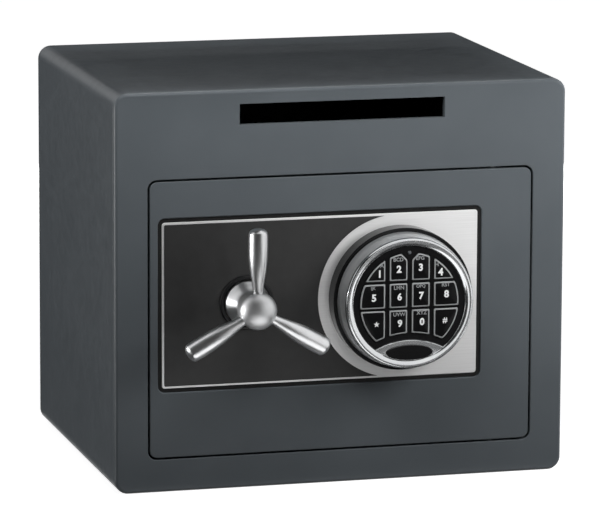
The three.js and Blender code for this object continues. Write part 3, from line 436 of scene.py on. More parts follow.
def lamp(name, place, target, width, height, watts):
    """A softbox at place, aimed at target. It is cross polarised, so it leaves no glint of itself."""
    data = bpy.data.lights.new(name, "AREA")
    data.shape = "RECTANGLE"
    data.size, data.size_y, data.energy = width, height, watts
    box = add_object(name, data)
    box.location, box.rotation_euler = place, toward(place, target)
    box.visible_glossy = False


def board(name, place, target, width, height, shade, glow=1.0):
    """A board of one even shade that shows only in reflections; it throws no shadow and lights nothing."""
    even = bpy.data.materials.new(f"{name}_board")
    tree = empty_tree(even)
    flat = add_node(tree, "ShaderNodeEmission", {"Color": linear(shade), "Strength": glow})
    add_node(tree, "ShaderNodeOutputMaterial", {"Surface": (flat, "Emission")})
    mesh = rectangle(name, width, height, even)
    turn = toward(place, target or (place[0], place[1], 1)).to_matrix().to_4x4()
    mesh.transform(Matrix.Translation(place) @ turn)
    sheet = add_object(name, mesh)
    sheet.visible_camera = sheet.visible_diffuse = sheet.visible_shadow = False
    return sheet


for name, settings in LAMPS.items():
    lamp(name, *settings)
boards = {name: board(name, *settings) for name, settings in BOARDS.items()}
# The flag is the one board that does throw a shadow, on the top, and doesn't show in reflections.
flag = boards["top_flag"]
flag.visible_glossy, flag.visible_shadow = False, True
print("lamps:", ", ".join(LAMPS), "and", len(boards), "boards")

# %% [markdown]
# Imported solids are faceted, which suits a physics engine and not a close look. A finer surface is a grid of
# points, worked out for all points at once, whose neighbours are joined by four sided faces. The helpers
# below put such a grid into a mesh, close its seams, turn its faces outwards and let it stand for a packed
# node.


# %% Mesh helpers
SEAM = 1e-6
SOFT_ANGLE = 35


def ride_and_replace(piece, nodes):
    """The piece rides with the first node's body and stands for all the nodes, which are hidden."""
    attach(piece, BODY_OF[nodes[0]])
    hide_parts(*nodes)
    return piece


def smooth_out(piece, soft=SOFT_ANGLE):
    """Shade smoothly below the soft angle, and let the large flat faces lead the shading at round edges."""
    piece.data.shade_smooth()
    piece.data.set_sharp_from_angle(angle=math.radians(soft))
    even = piece.modifiers.new("even_shading", "WEIGHTED_NORMAL")
    even.keep_sharp = True
    return piece


def weld(mesh, shape_up):
    """Merge the mesh's doubles, let shape_up work on it, and turn its faces outwards."""
    work = bmesh.new()
    work.from_mesh(mesh)
    bmesh.ops.remove_doubles(work, verts=work.verts, dist=SEAM)
    shape_up(work)
    bmesh.ops.recalc_face_normals(work, faces=work.faces)
    work.to_mesh(mesh)
    work.free()


def new_piece(name, points, faces, finishes, nodes=(), which=None, fill_levels=(), soft=SOFT_ANGLE):
    """Mesh from elevation points and faces, which stands for the nodes; which gives each face's finish, and
    open rims at each level in fill_levels are filled flat."""
    mesh = bpy.data.meshes.new(name)
    mesh.from_pydata(stand_up(points).reshape(-1, 3), [], faces.tolist())
    if which is not None:
        mesh.polygons.foreach_set("material_index", np.asarray(which, dtype=np.int32))

    def fill_rims(work):
        bmesh.ops.dissolve_degenerate(work, edges=work.edges, dist=SEAM / 2)
        for level in fill_levels:
            rim = [e for e in work.edges if e.is_boundary
                   and all(abs(v.co.y - (FRONT_Y - level)) < 10 * SEAM for v in e.verts)]
            bmesh.ops.triangle_fill(work, use_beauty=True, edges=rim)

    weld(mesh, fill_rims)
    for finish in finishes:
        mesh.materials.append(finish)
    piece = smooth_out(add_object(name, mesh), soft)
    print(f"{name}: {len(mesh.polygons)} faces")
    return ride_and_replace(piece, nodes) if nodes else piece


def grid_faces(rows, count, start=0, closed=True):
    """Quads between rows of count points each; a closed row's last point is joined to its first."""
    row, column = np.mgrid[0:rows - 1, 0:count if closed else count - 1]
    following = (column + 1) % count
    corners = [row * count + column, row * count + following,
               (row + 1) * count + following, (row + 1) * count + column]
    return np.stack(corners, axis=-1).reshape(-1, 4) + start


print("mesh helpers ready")

# %% [markdown]
# A flat part is drawn by its outlines. An outline is a function of how far it grows outwards, so one drawing
# gives the part, the gap round it and the rows of its round edge. A skirt is the edge of a plate: a small
# profile that is carried along an outline. The flat faces are then filled between the skirts.


# %% Outlines and plates
EDGE_STEPS = 6
BORE_STEPS = 32


def full_turn(count):
    """Angles of count points, spaced evenly round a circle."""
    return np.arange(count) * 2 * np.pi / count


def round_about(centre, width, height, angle):
    """Points (x + width cos a, z + height sin a) of an ellipse about its centre."""
    return np.stack([centre[0] + width * np.cos(angle), centre[1] + height * np.sin(angle)], axis=-1)


def at_levels(rows, levels):
    """Rows of points (x, z) become rows of points (x, z, out), one level for each row."""
    rows = np.asarray(rows)
    out = np.broadcast_to(np.reshape(levels, (-1, 1, 1)), (*rows.shape[:2], 1))
    return np.concatenate([rows, out], axis=-1)


def grown(outline, by):
    """The same outline, grown outwards to start with."""
    return lambda grow=0.0: outline(grow + by)


def rounded_rectangle(sides, radius, steps=14):
    """Outline of a rectangle with arcs at its corners; sides are left, right, bottom and top."""
    left, right, bottom, top = sides[:4]
    quarter = np.linspace(0, np.pi / 2, steps)
    arms = [((right - radius, bottom + radius), -np.pi / 2), ((right - radius, top - radius), 0),
            ((left + radius, top - radius), np.pi / 2), ((left + radius, bottom + radius), np.pi)]
    return lambda grow=0.0: np.concatenate([
        round_about(centre, radius + grow, radius + grow, quarter + start) for centre, start in arms])


def oval(centre, width, count, height=None):
    """Outline of a circle, or of an ellipse where its half height differs from its half width."""
    height = width if height is None else height
    return lambda grow=0.0: round_about(centre, width + grow, height + grow, full_turn(count))


def skirt(outline, front, back, front_round=0.0, back_round=0.0, hole=False):
    """Rows of a plate's edge, from its front to its back, over round edges.
    Along a round of radius r the edge is set back by r (1 - sin t) at a depth of r (1 - cos t)."""
    t = np.linspace(0, np.pi / 2, EDGE_STEPS)
    front_t = t if front_round else t[-1:]
    back_t = t[::-1] if back_round else t[-1:]
    insets = np.concatenate([front_round * (1 - np.sin(front_t)), back_round * (1 - np.sin(back_t))])
    levels = np.concatenate([front - front_round * (1 - np.cos(front_t)),
                             back + back_round * (1 - np.cos(back_t))])
    return at_levels([outline(inset if hole else -inset) for inset in insets], levels)


def bore(centre, radius, front, back):
    """Skirt of a plain round hole."""
    return skirt(oval(centre, radius, BORE_STEPS), front, back, hole=True)


def plate(name, skirts, finishes, nodes=()):
    """A flat part: its skirts are the swept edges, and each level where they end is filled flat."""
    starts = np.cumsum([0] + [rows.shape[0] * rows.shape[1] for rows in skirts])
    faces = np.concatenate([grid_faces(*rows.shape[:2], start) for rows, start in zip(skirts, starts)])
    points = np.concatenate([rows.reshape(-1, 3) for rows in skirts])
    levels = {round(float(rows[end, 0, 2]), 7) for rows in skirts for end in (0, -1)}
    return new_piece(name, points, faces, finishes, nodes, fill_levels=sorted(levels))


print("a bore has", BORE_STEPS, "steps round it")

# %% [markdown]
# The front frame is a thick plate, cut for the door and for the slot. Its outer edge is dressed to a soft
# round that catches the light in a thin line, while the cut edges are only broken. The back plate closes the
# box behind, with a smaller round.

# %% Front frame and back plate
BROKEN_EDGE = 0.5 * MM
CORNER_RADIUS = 10 * MM
DOOR_CORNER = 5.5 * MM
FRAME_ROUND = 2.5 * MM
DOOR_GAP = 1.6 * MM
SLOT_HALF = 78.8 * MM
SLOT_HEIGHT = 15.5 * MM
SLOT_BELOW_TOP = 10.5 * MM
SLOT_CORNER = 0.4 * MM

*_, top, frame_back, frame_front = extent("front_frame")
*_, rear_back, rear_front = extent("back_plate")
slot_top = top - SLOT_BELOW_TOP
slot_sides = (-SLOT_HALF, SLOT_HALF, slot_top - SLOT_HEIGHT, slot_top)
safe_outline = rounded_rectangle(extent("front_frame"), CORNER_RADIUS)
door_outline = rounded_rectangle(extent("door_plate"), DOOR_CORNER)
plate("painted_front_frame", [
    skirt(safe_outline, frame_front, frame_back, FRAME_ROUND),
    skirt(grown(door_outline, DOOR_GAP), frame_front, frame_back, BROKEN_EDGE, hole=True),
    skirt(rounded_rectangle(slot_sides, SLOT_CORNER, 5), frame_front, frame_back, BROKEN_EDGE / 2, hole=True),
], [charcoal_coat], ["front_frame"])
plate("painted_back_plate", [skirt(safe_outline, rear_front, rear_back, 0, FRAME_ROUND / 2)],
      [charcoal_coat], ["back_plate"])

# %% [markdown]
# The door is a plate with a shallow tray pressed into it for the control panel. A black rubber strip lies in
# the gap round the panel as painted shade, so the gap reads as a soft black line.

# %% Door plate
PANEL_CORNER = 2.2 * MM
SHADOW_GAP = 3 * MM
SPINDLE_HOLE = 5.6 * MM
CABLE_HOLE = 8 * MM
GAP_SHADE_SINK = 0.6 * MM

*_, door_back, door_front = extent("door_plate")
*_, panel_back, panel_front = extent("control_panel")
panel_outline = rounded_rectangle(extent("control_panel"), PANEL_CORNER)
tray = grown(panel_outline, SHADOW_GAP)
plate("painted_door_plate", [
    skirt(door_outline, door_front, door_back, BROKEN_EDGE, BROKEN_EDGE / 2),
    skirt(tray, door_front, panel_back, 2 * BROKEN_EDGE, hole=True),
    bore(HANDLE, SPINDLE_HOLE, panel_back, door_back),
    bore(KEYPAD, CABLE_HOLE, panel_back, door_back),
], [charcoal_coat], ["door_plate"])
# Painted shade: a black strip fills the gap round the panel, where there would only be shade.
gap_shade = plate("black_gap_shade_strip", [
    skirt(tray, panel_front - GAP_SHADE_SINK, panel_back, BROKEN_EDGE),
    skirt(panel_outline, panel_front - GAP_SHADE_SINK, panel_back, hole=True),
], [plug_rubber])
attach(gap_shade, BODY_OF["door_plate"])

# %% [markdown]
# The control panel is one brushed plate. A dark film lies on it and stops short of the plate's edge, which
# leaves a bright border, and it ends in an arc round the keypad. The film's outline is a rectangle whose
# right end is bitten off by a circle, so its points run along three sides and then along the arc.

# %% Control panel and overlay
OVERLAY_ARC = 62.2 * MM
FILM_CORNER = 1.2 * MM
FILM_ROUND = 0.12 * MM

film_left, _, film_bottom, film_top, film_back, film_front = extent("panel_overlay")
plate("brushed_control_panel", [
    skirt(panel_outline, panel_front, panel_back, BROKEN_EDGE),
    bore(HANDLE, SPINDLE_HOLE, panel_front, panel_back),
    bore(KEYPAD, CABLE_HOLE, panel_front, panel_back),
], [brushed_stainless], ["control_panel"])


def film_outline(grow=0.0):
    """Left side with two round corners, then along an arc of OVERLAY_ARC about the keypad, to the start."""
    low, high = film_bottom - grow, film_top + grow
    corner_x = film_left - grow + FILM_CORNER
    quarter = np.linspace(0, np.pi / 2, 6)
    upper = round_about((corner_x, high - FILM_CORNER), FILM_CORNER, FILM_CORNER, quarter + np.pi / 2)
    lower = round_about((corner_x, low + FILM_CORNER), FILM_CORNER, FILM_CORNER, quarter + np.pi)
    bite = OVERLAY_ARC - grow
    upper_end = math.pi - math.asin(min((high - KEYPAD[1]) / bite, 1))
    lower_end = math.pi + math.asin(min((KEYPAD[1] - low) / bite, 1))
    bitten = round_about(KEYPAD, bite, bite, np.linspace(lower_end, upper_end, 64))
    return np.concatenate([upper, lower, bitten])


plate("satin_overlay_film", [
    skirt(film_outline, film_front, film_back, FILM_ROUND),
    bore(HANDLE, SPINDLE_HOLE, film_front, film_back),
], [overlay_film], ["panel_overlay"])

# %% [markdown]
# Everything round is a profile turned about an axis, as on a lathe: the escutcheon, the hub, the spokes and
# the keypad's ring. The profile is a short list of corners, and a smooth curve is laid through those that
# belong to one soft form.


# %% Turning
def turned(name, profile, centre, segments, finishes, nodes, which=None, soft=SOFT_ANGLE):
    """Profile rows of (radius, out) turned about the axis through the centre, square to the front; which
    gives the finish of each band between two rows."""
    radius, out = np.hsplit(profile, 2)
    points = at_levels(round_about(centre, radius, radius, full_turn(segments)), out)
    bands = None if which is None else np.repeat(which, segments)
    new_piece(name, points, grid_faces(len(profile), segments), finishes, nodes, which=bands, soft=soft)


def soft_curve(knots, count):
    """Points on a smooth curve through the knots: each span is a cubic whose slopes at its ends are the
    chords between the neighbours."""
    knots = np.asarray(knots, dtype=float)
    slopes = np.gradient(knots, axis=0)
    where = np.linspace(0, len(knots) - 1, count)
    span = np.minimum(where.astype(int), len(knots) - 2)
    s = (where - span)[:, None]
    start, end = knots[span], knots[span + 1]
    return ((2 * s**3 - 3 * s**2 + 1) * start + (s**3 - 2 * s**2 + s) * slopes[span]
            + (3 * s**2 - 2 * s**3) * end + (s**3 - s**2) * slopes[span + 1])


def arc(centre, size, start, end, count=8):
    """Arc in a profile, from one angle to another; 0 degrees points away from the axis. One size makes it
    round, and a width and a height make it an ellipse."""
    width, height = np.broadcast_to(size, 2)
    return round_about(centre, width, height, np.radians(np.linspace(start, end, count)))


print("turning and soft curves ready")

# %% [markdown]
# The handle stands on a black escutcheon. Its boss is a cone with hollow sides, buffed to a satin, and a
# flattened ball crowns it. The ball is blasted, so it shows soft patches of light where the spokes beside it
# show stripes.

# %% Handle escutcheon and hub
ESCUTCHEON_RADIUS = 20.5 * MM
ESCUTCHEON_ROUND = 1.6 * MM
ESCUTCHEON_LIP = 0.5 * MM
BOSS_RADIUS = 16.9 * MM
BOSS_PLAY = 0.6 * MM
BOSS_FOOT_ROUND = 0.5 * MM
BOSS_KNOTS = [(1, 1.5), (0.6, 5.4), (0.25, 8.9), (0.05, 11.8), (0, 15.5)]   # share of the flare, rise in mm
NECK_RADIUS = 9.6 * MM
SOCKET_RADIUS = 5.3 * MM
SOCKET_END = 25 * MM
BALL_RADIUS = 14.2 * MM
BALL_OUT = 34 * MM
BALL_DOME = 11 * MM
ROUND_SEGMENTS = 96
HANDLE_SOFT = 50

*_, ring_back, ring_front = extent("handle_escutcheon")
hub_back = extent("handle_hub")[4]
inner_radius = BOSS_RADIUS + BOSS_PLAY
turned("black_handle_escutcheon", np.concatenate([
    [(inner_radius, ring_back), (ESCUTCHEON_RADIUS, ring_back)],
    arc((ESCUTCHEON_RADIUS - ESCUTCHEON_ROUND, ring_front - ESCUTCHEON_ROUND), ESCUTCHEON_ROUND, 0, 90),
    arc((inner_radius + ESCUTCHEON_LIP, ring_front - ESCUTCHEON_LIP), ESCUTCHEON_LIP, 90, 180, 4),
    [(inner_radius, ring_back)],
]), HANDLE, ROUND_SEGMENTS, [satin_abs], ["handle_escutcheon"])
flare = BOSS_RADIUS - NECK_RADIUS
boss = np.concatenate([
    [(SOCKET_RADIUS, SOCKET_END), (SOCKET_RADIUS, hub_back), (BOSS_RADIUS - BOSS_FOOT_ROUND, hub_back)],
    arc((BOSS_RADIUS - BOSS_FOOT_ROUND, hub_back + BOSS_FOOT_ROUND), BOSS_FOOT_ROUND, -90, 0, 4),
    soft_curve([(NECK_RADIUS + flare * share, ring_front + rise * MM) for share, rise in BOSS_KNOTS], 24),
])
ball = np.concatenate([
    arc((NECK_RADIUS, BALL_OUT - BALL_DOME / 2), (BALL_RADIUS - NECK_RADIUS, BALL_DOME / 2), -80, 0, 10),
    arc((0, BALL_OUT), (BALL_RADIUS, BALL_DOME), 6, 90, 26),
])
on_boss = (np.arange(len(boss) + len(ball) - 1) < len(boss)).astype(int)
turned("chrome_handle_hub", np.concatenate([boss, ball]), HANDLE, ROUND_SEGMENTS,
       [blasted_chrome, satin_chrome], ["handle_hub"], which=on_boss, soft=HANDLE_SOFT)

# %% [markdown]
# A spoke is turned about its own length: a slim root, a grip that swells towards the hand, and a domed end.

# %% Spokes
SPOKE_LENGTH = 61.5 * MM
SPOKE_SEAT = 9.3 * MM
SPOKE_SEGMENTS = 48
TIP_POWER = 0.8
# Each knot: the share of the length, and the radius in millimetres.
SPOKE_KNOTS = [(0.151, 3.6), (0.23, 3.8), (0.31, 4.4), (0.45, 5.8), (0.58, 6.8), (0.72, 7.3), (0.84, 7.35),
               (0.93, 7.15)]


def spoke(number):
    """Radius by share of the length along a soft curve, closed by a dome; turned about a line from the hub.
    The dome's radius falls as (cos t) to TIP_POWER over the length's last part, sin t."""
    body = soft_curve(SPOKE_KNOTS, 40) * (SPOKE_LENGTH, MM)
    tip_start, tip_radius = body[-1]
    t = np.linspace(0, np.pi / 2, 12)[1:]
    tip = np.stack([tip_start + (SPOKE_LENGTH - tip_start) * np.sin(t),
                    tip_radius * np.cos(t) ** TIP_POWER], axis=-1)
    rows = np.concatenate([[(SPOKE_SEAT, 0)], body, tip])
    around = full_turn(SPOKE_SEGMENTS)
    lean = np.pi / 2 + number * 2 * np.pi / 3
    along, across = rows[:, :1], rows[:, 1:] * np.cos(around)
    points = np.stack([
        HANDLE[0] + along * np.cos(lean) - across * np.sin(lean),
        HANDLE[1] + along * np.sin(lean) + across * np.cos(lean),
        BALL_OUT + rows[:, 1:] * np.sin(around),
    ], axis=-1)
    name = f"handle_spoke_{number + 1}"
    faces = grid_faces(len(rows), SPOKE_SEGMENTS)
    new_piece(f"chrome_{name}", points, faces, [satin_chrome], [name], soft=HANDLE_SOFT)


for number in range(3):
    spoke(number)

# %% [markdown]
# The keypad's body is a dish of black plastic under a chromed ring. The ring's side wall leans in a little
# and is tumbled to an even grey. Its front edge is rolled, and the polished roll runs down inside to the
# black face.

# %% Keypad base, ring and face
BASE_ROUND = 0.8 * MM
BASE_FLOOR = 3 * MM
COLLAR_OUTSIDE = 39 * MM
COLLAR_INSIDE = 36 * MM
BEZEL_RADIUS = 49.4 * MM
BEZEL_FLARE = 1.6 * MM
BEZEL_WALL = 2.6 * MM
WALL_KNOTS = [(1, 0), (0.75, 0.35), (0.4, 0.7), (0, 1)]   # share of the flare, share of the wall's height
ROLL_OUT = 1.9 * MM
ROLL_HEIGHT = 3.0 * MM
FACE_RADIUS = 42.8 * MM
FACE_PLAY = 0.3 * MM
KEYPAD_SEGMENTS = 128

_, base_right, _, _, base_back, base_front = extent("keypad_base")
*_, ring_foot, ring_top = extent("keypad_housing")
_, face_right, _, _, face_back, face_front = extent("keypad_face")
base_radius = base_right - KEYPAD[0]
face_seat = face_right - KEYPAD[0]
base_floor = base_back + BASE_FLOOR
ring_inside = BEZEL_RADIUS - BEZEL_WALL
turned("black_keypad_base", np.concatenate([
    [(CABLE_HOLE, base_back), (base_radius, base_back)],
    arc((base_radius - BASE_ROUND, ring_foot - BASE_ROUND), BASE_ROUND, 0, 90, 6),
    [(ring_inside, ring_foot), (ring_inside, base_floor), (COLLAR_OUTSIDE, base_floor),
     (COLLAR_OUTSIDE, base_front), (COLLAR_INSIDE, base_front), (COLLAR_INSIDE, base_floor),
     (CABLE_HOLE, base_floor), (CABLE_HOLE, base_back)],
]), KEYPAD, KEYPAD_SEGMENTS, [gloss_abs], ["keypad_base"])
roll_foot = ring_top - ROLL_HEIGHT
wall = soft_curve([(BEZEL_RADIUS + BEZEL_FLARE * flare_share, ring_foot + (roll_foot - ring_foot) * up_share)
                   for flare_share, up_share in WALL_KNOTS], 20)
roll_radius = BEZEL_RADIUS - ROLL_OUT
ring_profile = np.concatenate([
    [(ring_inside, ring_foot)],
    wall,
    arc((roll_radius, roll_foot), (ROLL_OUT, ROLL_HEIGHT), 0, 90, 12)[1:],
    arc((roll_radius, face_front), (FACE_RADIUS - roll_radius, ring_top - face_front), 90, 0, 10)[1:],
    [(face_seat + FACE_PLAY, face_front), (face_seat + FACE_PLAY, face_back), (ring_inside, face_back),
     (ring_inside, ring_foot)],
])
on_side = (np.arange(len(ring_profile) - 1) <= len(wall)).astype(int)
turned("chrome_keypad_ring", ring_profile, KEYPAD, KEYPAD_SEGMENTS, [polished_chrome, tumbled_chrome],
       ["keypad_housing"], which=on_side)

# %% [markdown]
# A chrome crescent closes the foot of the face and carries a blank oval badge. Its upper edge is an arch
# whose ends meet the ring. The surface climbs over a narrow lip along the arch and then dips towards the
# badge, as a shallow scoop, before it dives under the ring's roll.

# %% Crescent and badge
CRESCENT_RADIUS = 57.5 * MM
CRESCENT_TOP = -27.3 * MM
CRESCENT_LAP = 1.2 * MM
CRESCENT_SINK = 0.05 * MM
LIP_WIDTH = 0.9 * MM
DIP_WIDTH = 4.4 * MM
DIP_DEPTH = 0.2
ROW_CROWDING = 1.4
BADGE_HALF_WIDTH = 18 * MM
BADGE_HALF_HEIGHT = 5.6 * MM
BADGE_ROUND = 0.5 * MM
BADGE_SINK = 0.1 * MM

arch_z = CRESCENT_TOP - CRESCENT_RADIUS
meet_radius = FACE_RADIUS + CRESCENT_LAP
*_, badge_back, badge_front = extent("keypad_badge")


def crescent():
    """Grid of u across and v down. Inward of the arch the height climbs as sin t over the lip's width, then
    falls by DIP_DEPTH of itself as (sin t) squared over the dip's width, and stays there."""
    meet_z = (meet_radius**2 - CRESCENT_RADIUS**2 + arch_z**2) / (2 * arch_z)
    half = math.sqrt(meet_radius**2 - meet_z**2)
    u = half * np.sin(np.linspace(-np.pi / 2, np.pi / 2, 97))
    v = np.concatenate([[0.0], np.linspace(0, 1, 33) ** ROW_CROWDING])[:, None]
    upper = arch_z + np.sqrt(CRESCENT_RADIUS**2 - u**2)
    lower = -np.sqrt(np.maximum(meet_radius**2 - u**2, 0))
    z = upper + (lower - upper) * v
    inward = upper - z
    lip = np.sin(np.clip(inward / LIP_WIDTH, 0, 1) * np.pi / 2)
    dip = DIP_DEPTH * np.sin(np.clip((inward - LIP_WIDTH) / DIP_WIDTH, 0, 1) * np.pi / 2) ** 2
    out = face_front + (badge_back - face_front) * (lip - dip)
    out[0] = face_front - CRESCENT_SINK
    points = np.stack([KEYPAD[0] + np.broadcast_to(u, z.shape), KEYPAD[1] + z, out], axis=-1)
    below = points.copy()
    below[..., 2] = face_front - CRESCENT_SINK
    rows, count = z.shape
    quads = grid_faces(rows, count, closed=False)
    foot = count * (rows - 1) + np.arange(count - 1)
    foot_wall = np.stack([foot, foot + 1, foot + 1 + rows * count, foot + rows * count], axis=-1)
    faces = np.concatenate([quads, quads[:, ::-1] + rows * count, foot_wall])
    sheet = np.concatenate([points.reshape(-1, 3), below.reshape(-1, 3)])
    new_piece("chrome_crescent", sheet, faces, [polished_chrome], ["keypad_housing"])


crescent()
badge_outline = oval(middle("keypad_badge"), BADGE_HALF_WIDTH, ROUND_SEGMENTS, BADGE_HALF_HEIGHT)
plate("blank_black_badge", [skirt(badge_outline, badge_front, badge_back - BADGE_SINK, BADGE_ROUND)],
      [gloss_abs], ["keypad_badge"])

# %% [markdown]
# The twelve keys fill a round field: four columns and three rows, cut by the circle of the field, by the arch
# below and, beside the lamp, by a slanting corner. From a key's middle a ray in any direction meets one of
# these sides first. A soft minimum of the distances to all sides gives the outline with its corners rounded,
# and moving every side in or out gives the same shape a little smaller or larger.

# %% Key outlines
KEY_RAYS = 144
KEY_SOFTNESS = 26.0
KEY_ARCH_GAP = 4.8 * MM
LAMP_ROOM = 7.2 * MM
KEY_GRID = [["1", "2", "3", "4"], ["5", "6", "7", "8"], ["star", "9", "0", "hash"]]
FAR = 1.0
CORNER_KEY_SHIFT = 0.2
SLOPE = math.sqrt(0.5)

lamp_middle = middle("keypad_led")
lamp_z = lamp_middle[1] - KEYPAD[1]
field_radius = KEYPAD[0] - extent("key_5")[0]


def key_sides(row, column):
    """A key's left, right, bottom and top, from the keypad's middle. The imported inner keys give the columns
    and the outer ones the rows; a side is FAR where the round field cuts the key."""
    across = [(-FAR, extent("key_5")[1]), extent("key_6")[:2], extent("key_7")[:2], (extent("key_8")[0], FAR)]
    upward = [(extent("key_2")[2], FAR), extent("key_6")[2:4], (-FAR, extent("key_9")[3])]
    return (*(across[column] - KEYPAD[0]), *(upward[row] - KEYPAD[1]))


def key_outline(name, row, column):
    """Outline of one key: r = (sum of r_i to the -p) to the -1/p over the distances r_i to its sides."""
    left, right, bottom, top = key_sides(row, column)
    low_x, high_x, low_z, high_z = extent(f"key_{name}")[:4]
    start = middle(f"key_{name}") - KEYPAD
    side = 1 if start[0] > 0 else -1
    if row == 0 and column in (0, 3):     # the tapering corner keys are drawn from further inwards
        start = start + CORNER_KEY_SHIFT * np.array([-side * (high_x - low_x), low_z - high_z])
    normals = np.array([(1, 0), (-1, 0), (0, 1), (0, -1), (-side * SLOPE, SLOPE)])
    reaches = np.array([right, -left, top, -bottom, SLOPE * (lamp_z - LAMP_ROOM)])
    way = round_about((0, 0), 1, 1, full_turn(KEY_RAYS))
    from_arch = start - np.array([0.0, arch_z])

    def outline(grow=0.0):
        closing = way @ normals.T
        gap = reaches + grow - normals @ start
        straight = np.where(closing > SEAM, gap / np.maximum(closing, SEAM), FAR)
        ahead = way @ start
        to_field = np.sqrt(ahead**2 - start @ start + (field_radius + grow) ** 2) - ahead
        nearing = way @ from_arch
        inside = nearing**2 - from_arch @ from_arch + (CRESCENT_RADIUS + KEY_ARCH_GAP - grow) ** 2
        to_arch = np.where((inside > 0) & (nearing < 0), -nearing - np.sqrt(np.maximum(inside, 0)), FAR)
        rays = np.column_stack([straight, to_field, to_arch])
        reach = np.sum(rays ** -KEY_SOFTNESS, axis=1) ** (-1 / KEY_SOFTNESS)
        return KEYPAD + start + way * reach[:, None]

    return outline, KEYPAD + start


outlines = {name: key_outline(name, row, column)
            for row, names in enumerate(KEY_GRID) for column, name in enumerate(names)}
print("key outlines:", ", ".join(outlines))

# %% [markdown]
# The face is a gloss black disc with a window for each key and for the lamp. Each key stands a little proud
# of it: a straight wall, a small round, a pale printed line along the edge, and a low crown. Two finishes
# share the key's mesh, picked by face.

# %% Keypad face and keys
KEY_WINDOW = 0.35 * MM
WINDOW_ROUND = 0.25 * MM
KEY_ROUND = 0.45 * MM
LINE_END = 1.05 * MM
KEY_CROWN = 0.3 * MM
KEY_SOFT = 40
CROWN_SHARES = (1, 0.93, 0.82, 0.66, 0.46, 0.24, 0)
LAMP_RADIUS = 1.3 * MM
LAMP_WINDOW = 0.3 * MM

plate("gloss_keypad_face", [
    skirt(oval(KEYPAD, face_seat, KEYPAD_SEGMENTS), face_front, face_back),
    bore(lamp_middle, LAMP_RADIUS + LAMP_WINDOW, face_front, face_back),
    *[skirt(grown(outline, KEY_WINDOW), face_front, face_back, WINDOW_ROUND, hole=True)
      for outline, _ in outlines.values()],
], [gloss_abs], ["keypad_face"])


def crown(point, outline, centre):
    """Height of a key's crown above its edge: KEY_CROWN (1 - q squared), where q is the share of the way to
    the edge."""
    reach = np.linalg.norm(outline(-LINE_END) - centre, axis=1)
    away = point - centre
    limit = np.interp(np.arctan2(away[..., 1], away[..., 0]), full_turn(KEY_RAYS), reach, period=2 * np.pi)
    return KEY_CROWN * (1 - np.clip(np.linalg.norm(away, axis=-1) / limit, 0, 1) ** 2)


def make_key(name):
    """Rows from the key's back, up its wall, over its round and along the printed line, then over the crown.
    Round and crown are r (1 - cos t, 1 - sin t) and KEY_CROWN q squared, as for a plate and in crown."""
    outline, centre = outlines[name]
    back, front = extent(f"key_{name}")[4:]
    shoulder = [(outline(-KEY_ROUND * (1 - math.cos(t))), front - KEY_CROWN - KEY_ROUND * (1 - math.sin(t)))
                for t in np.linspace(0, np.pi / 2, 5)]
    rim = outline(-LINE_END)
    top_rows = [(centre + (rim - centre) * share, front - KEY_CROWN * share**2) for share in CROWN_SHARES]
    rows, levels = zip((np.tile(centre, (KEY_RAYS, 1)), back), (outline(), back), *shoulder, *top_rows)
    inked = np.zeros(len(rows) - 1, dtype=int)
    inked[2:len(shoulder) + 2] = 1
    new_piece(f"moulded_key_{name}", at_levels(rows, levels), grid_faces(len(rows), KEY_RAYS),
              [key_silicone, grey_ink], [f"key_{name}"], which=np.repeat(inked, KEY_RAYS), soft=KEY_SOFT)


for name in outlines:
    make_key(name)
print(len(outlines), "keys")

# %% [markdown]
# The marks are printed: a bold white digit low on each key, and small grey letters above it, in the order of
# the alphabet. Text is turned into a mesh first and is then laid on the crown. Its face stands a few
# hundredths of a millimetre above the crown's highest point below it, so that it never sinks in. The star is
# drawn as a solid five pointed star.

# %% Key marks
DIGIT_HEIGHT = 5.6 * MM
HASH_HEIGHT = 4.4 * MM
LETTER_HEIGHT = 2.9 * MM
DIGIT_BOLD = 0.04
HASH_BOLD = 0.015
LETTER_BOLD = 0.02
INK_LIFT = 0.03 * MM
STAR_RADIUS = 2.3 * MM
STAR_NOTCH = 0.45
STAR_PLACE = (2.8, 1.6)
# A key's letters, the place of its digit from its middle, and of its letters from the digit, in millimetres.
MARKS = {
    "1": ("A", (3.0, -2.0), (1.7, 6.2)),
    "2": ("BCD", (0.2, -1.2), (-0.5, 7.2)),
    "3": ("EFG", (-0.3, -0.5), (-0.5, 7.0)),
    "4": ("H", (-2.6, -2.4), (-3.0, 5.8)),
    "5": ("IJK", (0.8, -0.8), (-0.5, 7.0)),
    "6": ("LMN", (0.8, -0.7), (-0.5, 6.9)),
    "7": ("OPQ", (0.4, -0.5), (-0.5, 7.0)),
    "8": ("RST", (0.0, -0.1), (-0.5, 7.0)),
    "9": ("UVW", (1.2, -0.1), (-0.5, 6.8)),
    "0": ("XYZ", (1.0, 0.5), (-0.3, 6.8)),
    "hash": ("", (-0.8, 2.4), (0, 0)),
}


def ink_levels(key, place):
    """Face and foot of the ink over the key: INK_LIFT beyond the crown's highest and lowest point below."""
    low, high = place.min(axis=0), place.max(axis=0)
    below = np.stack(np.meshgrid(np.linspace(low[0], high[0], 9), np.linspace(low[1], high[1], 9)), axis=-1)
    under = extent(f"key_{key}")[5] - KEY_CROWN + crown(below, *outlines[key])
    return under.max() + INK_LIFT, under.min() - INK_LIFT


def ink_rides(mark, key):
    """The mark moves with its key."""
    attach(mark, BODY_OF[f"key_{key}"])


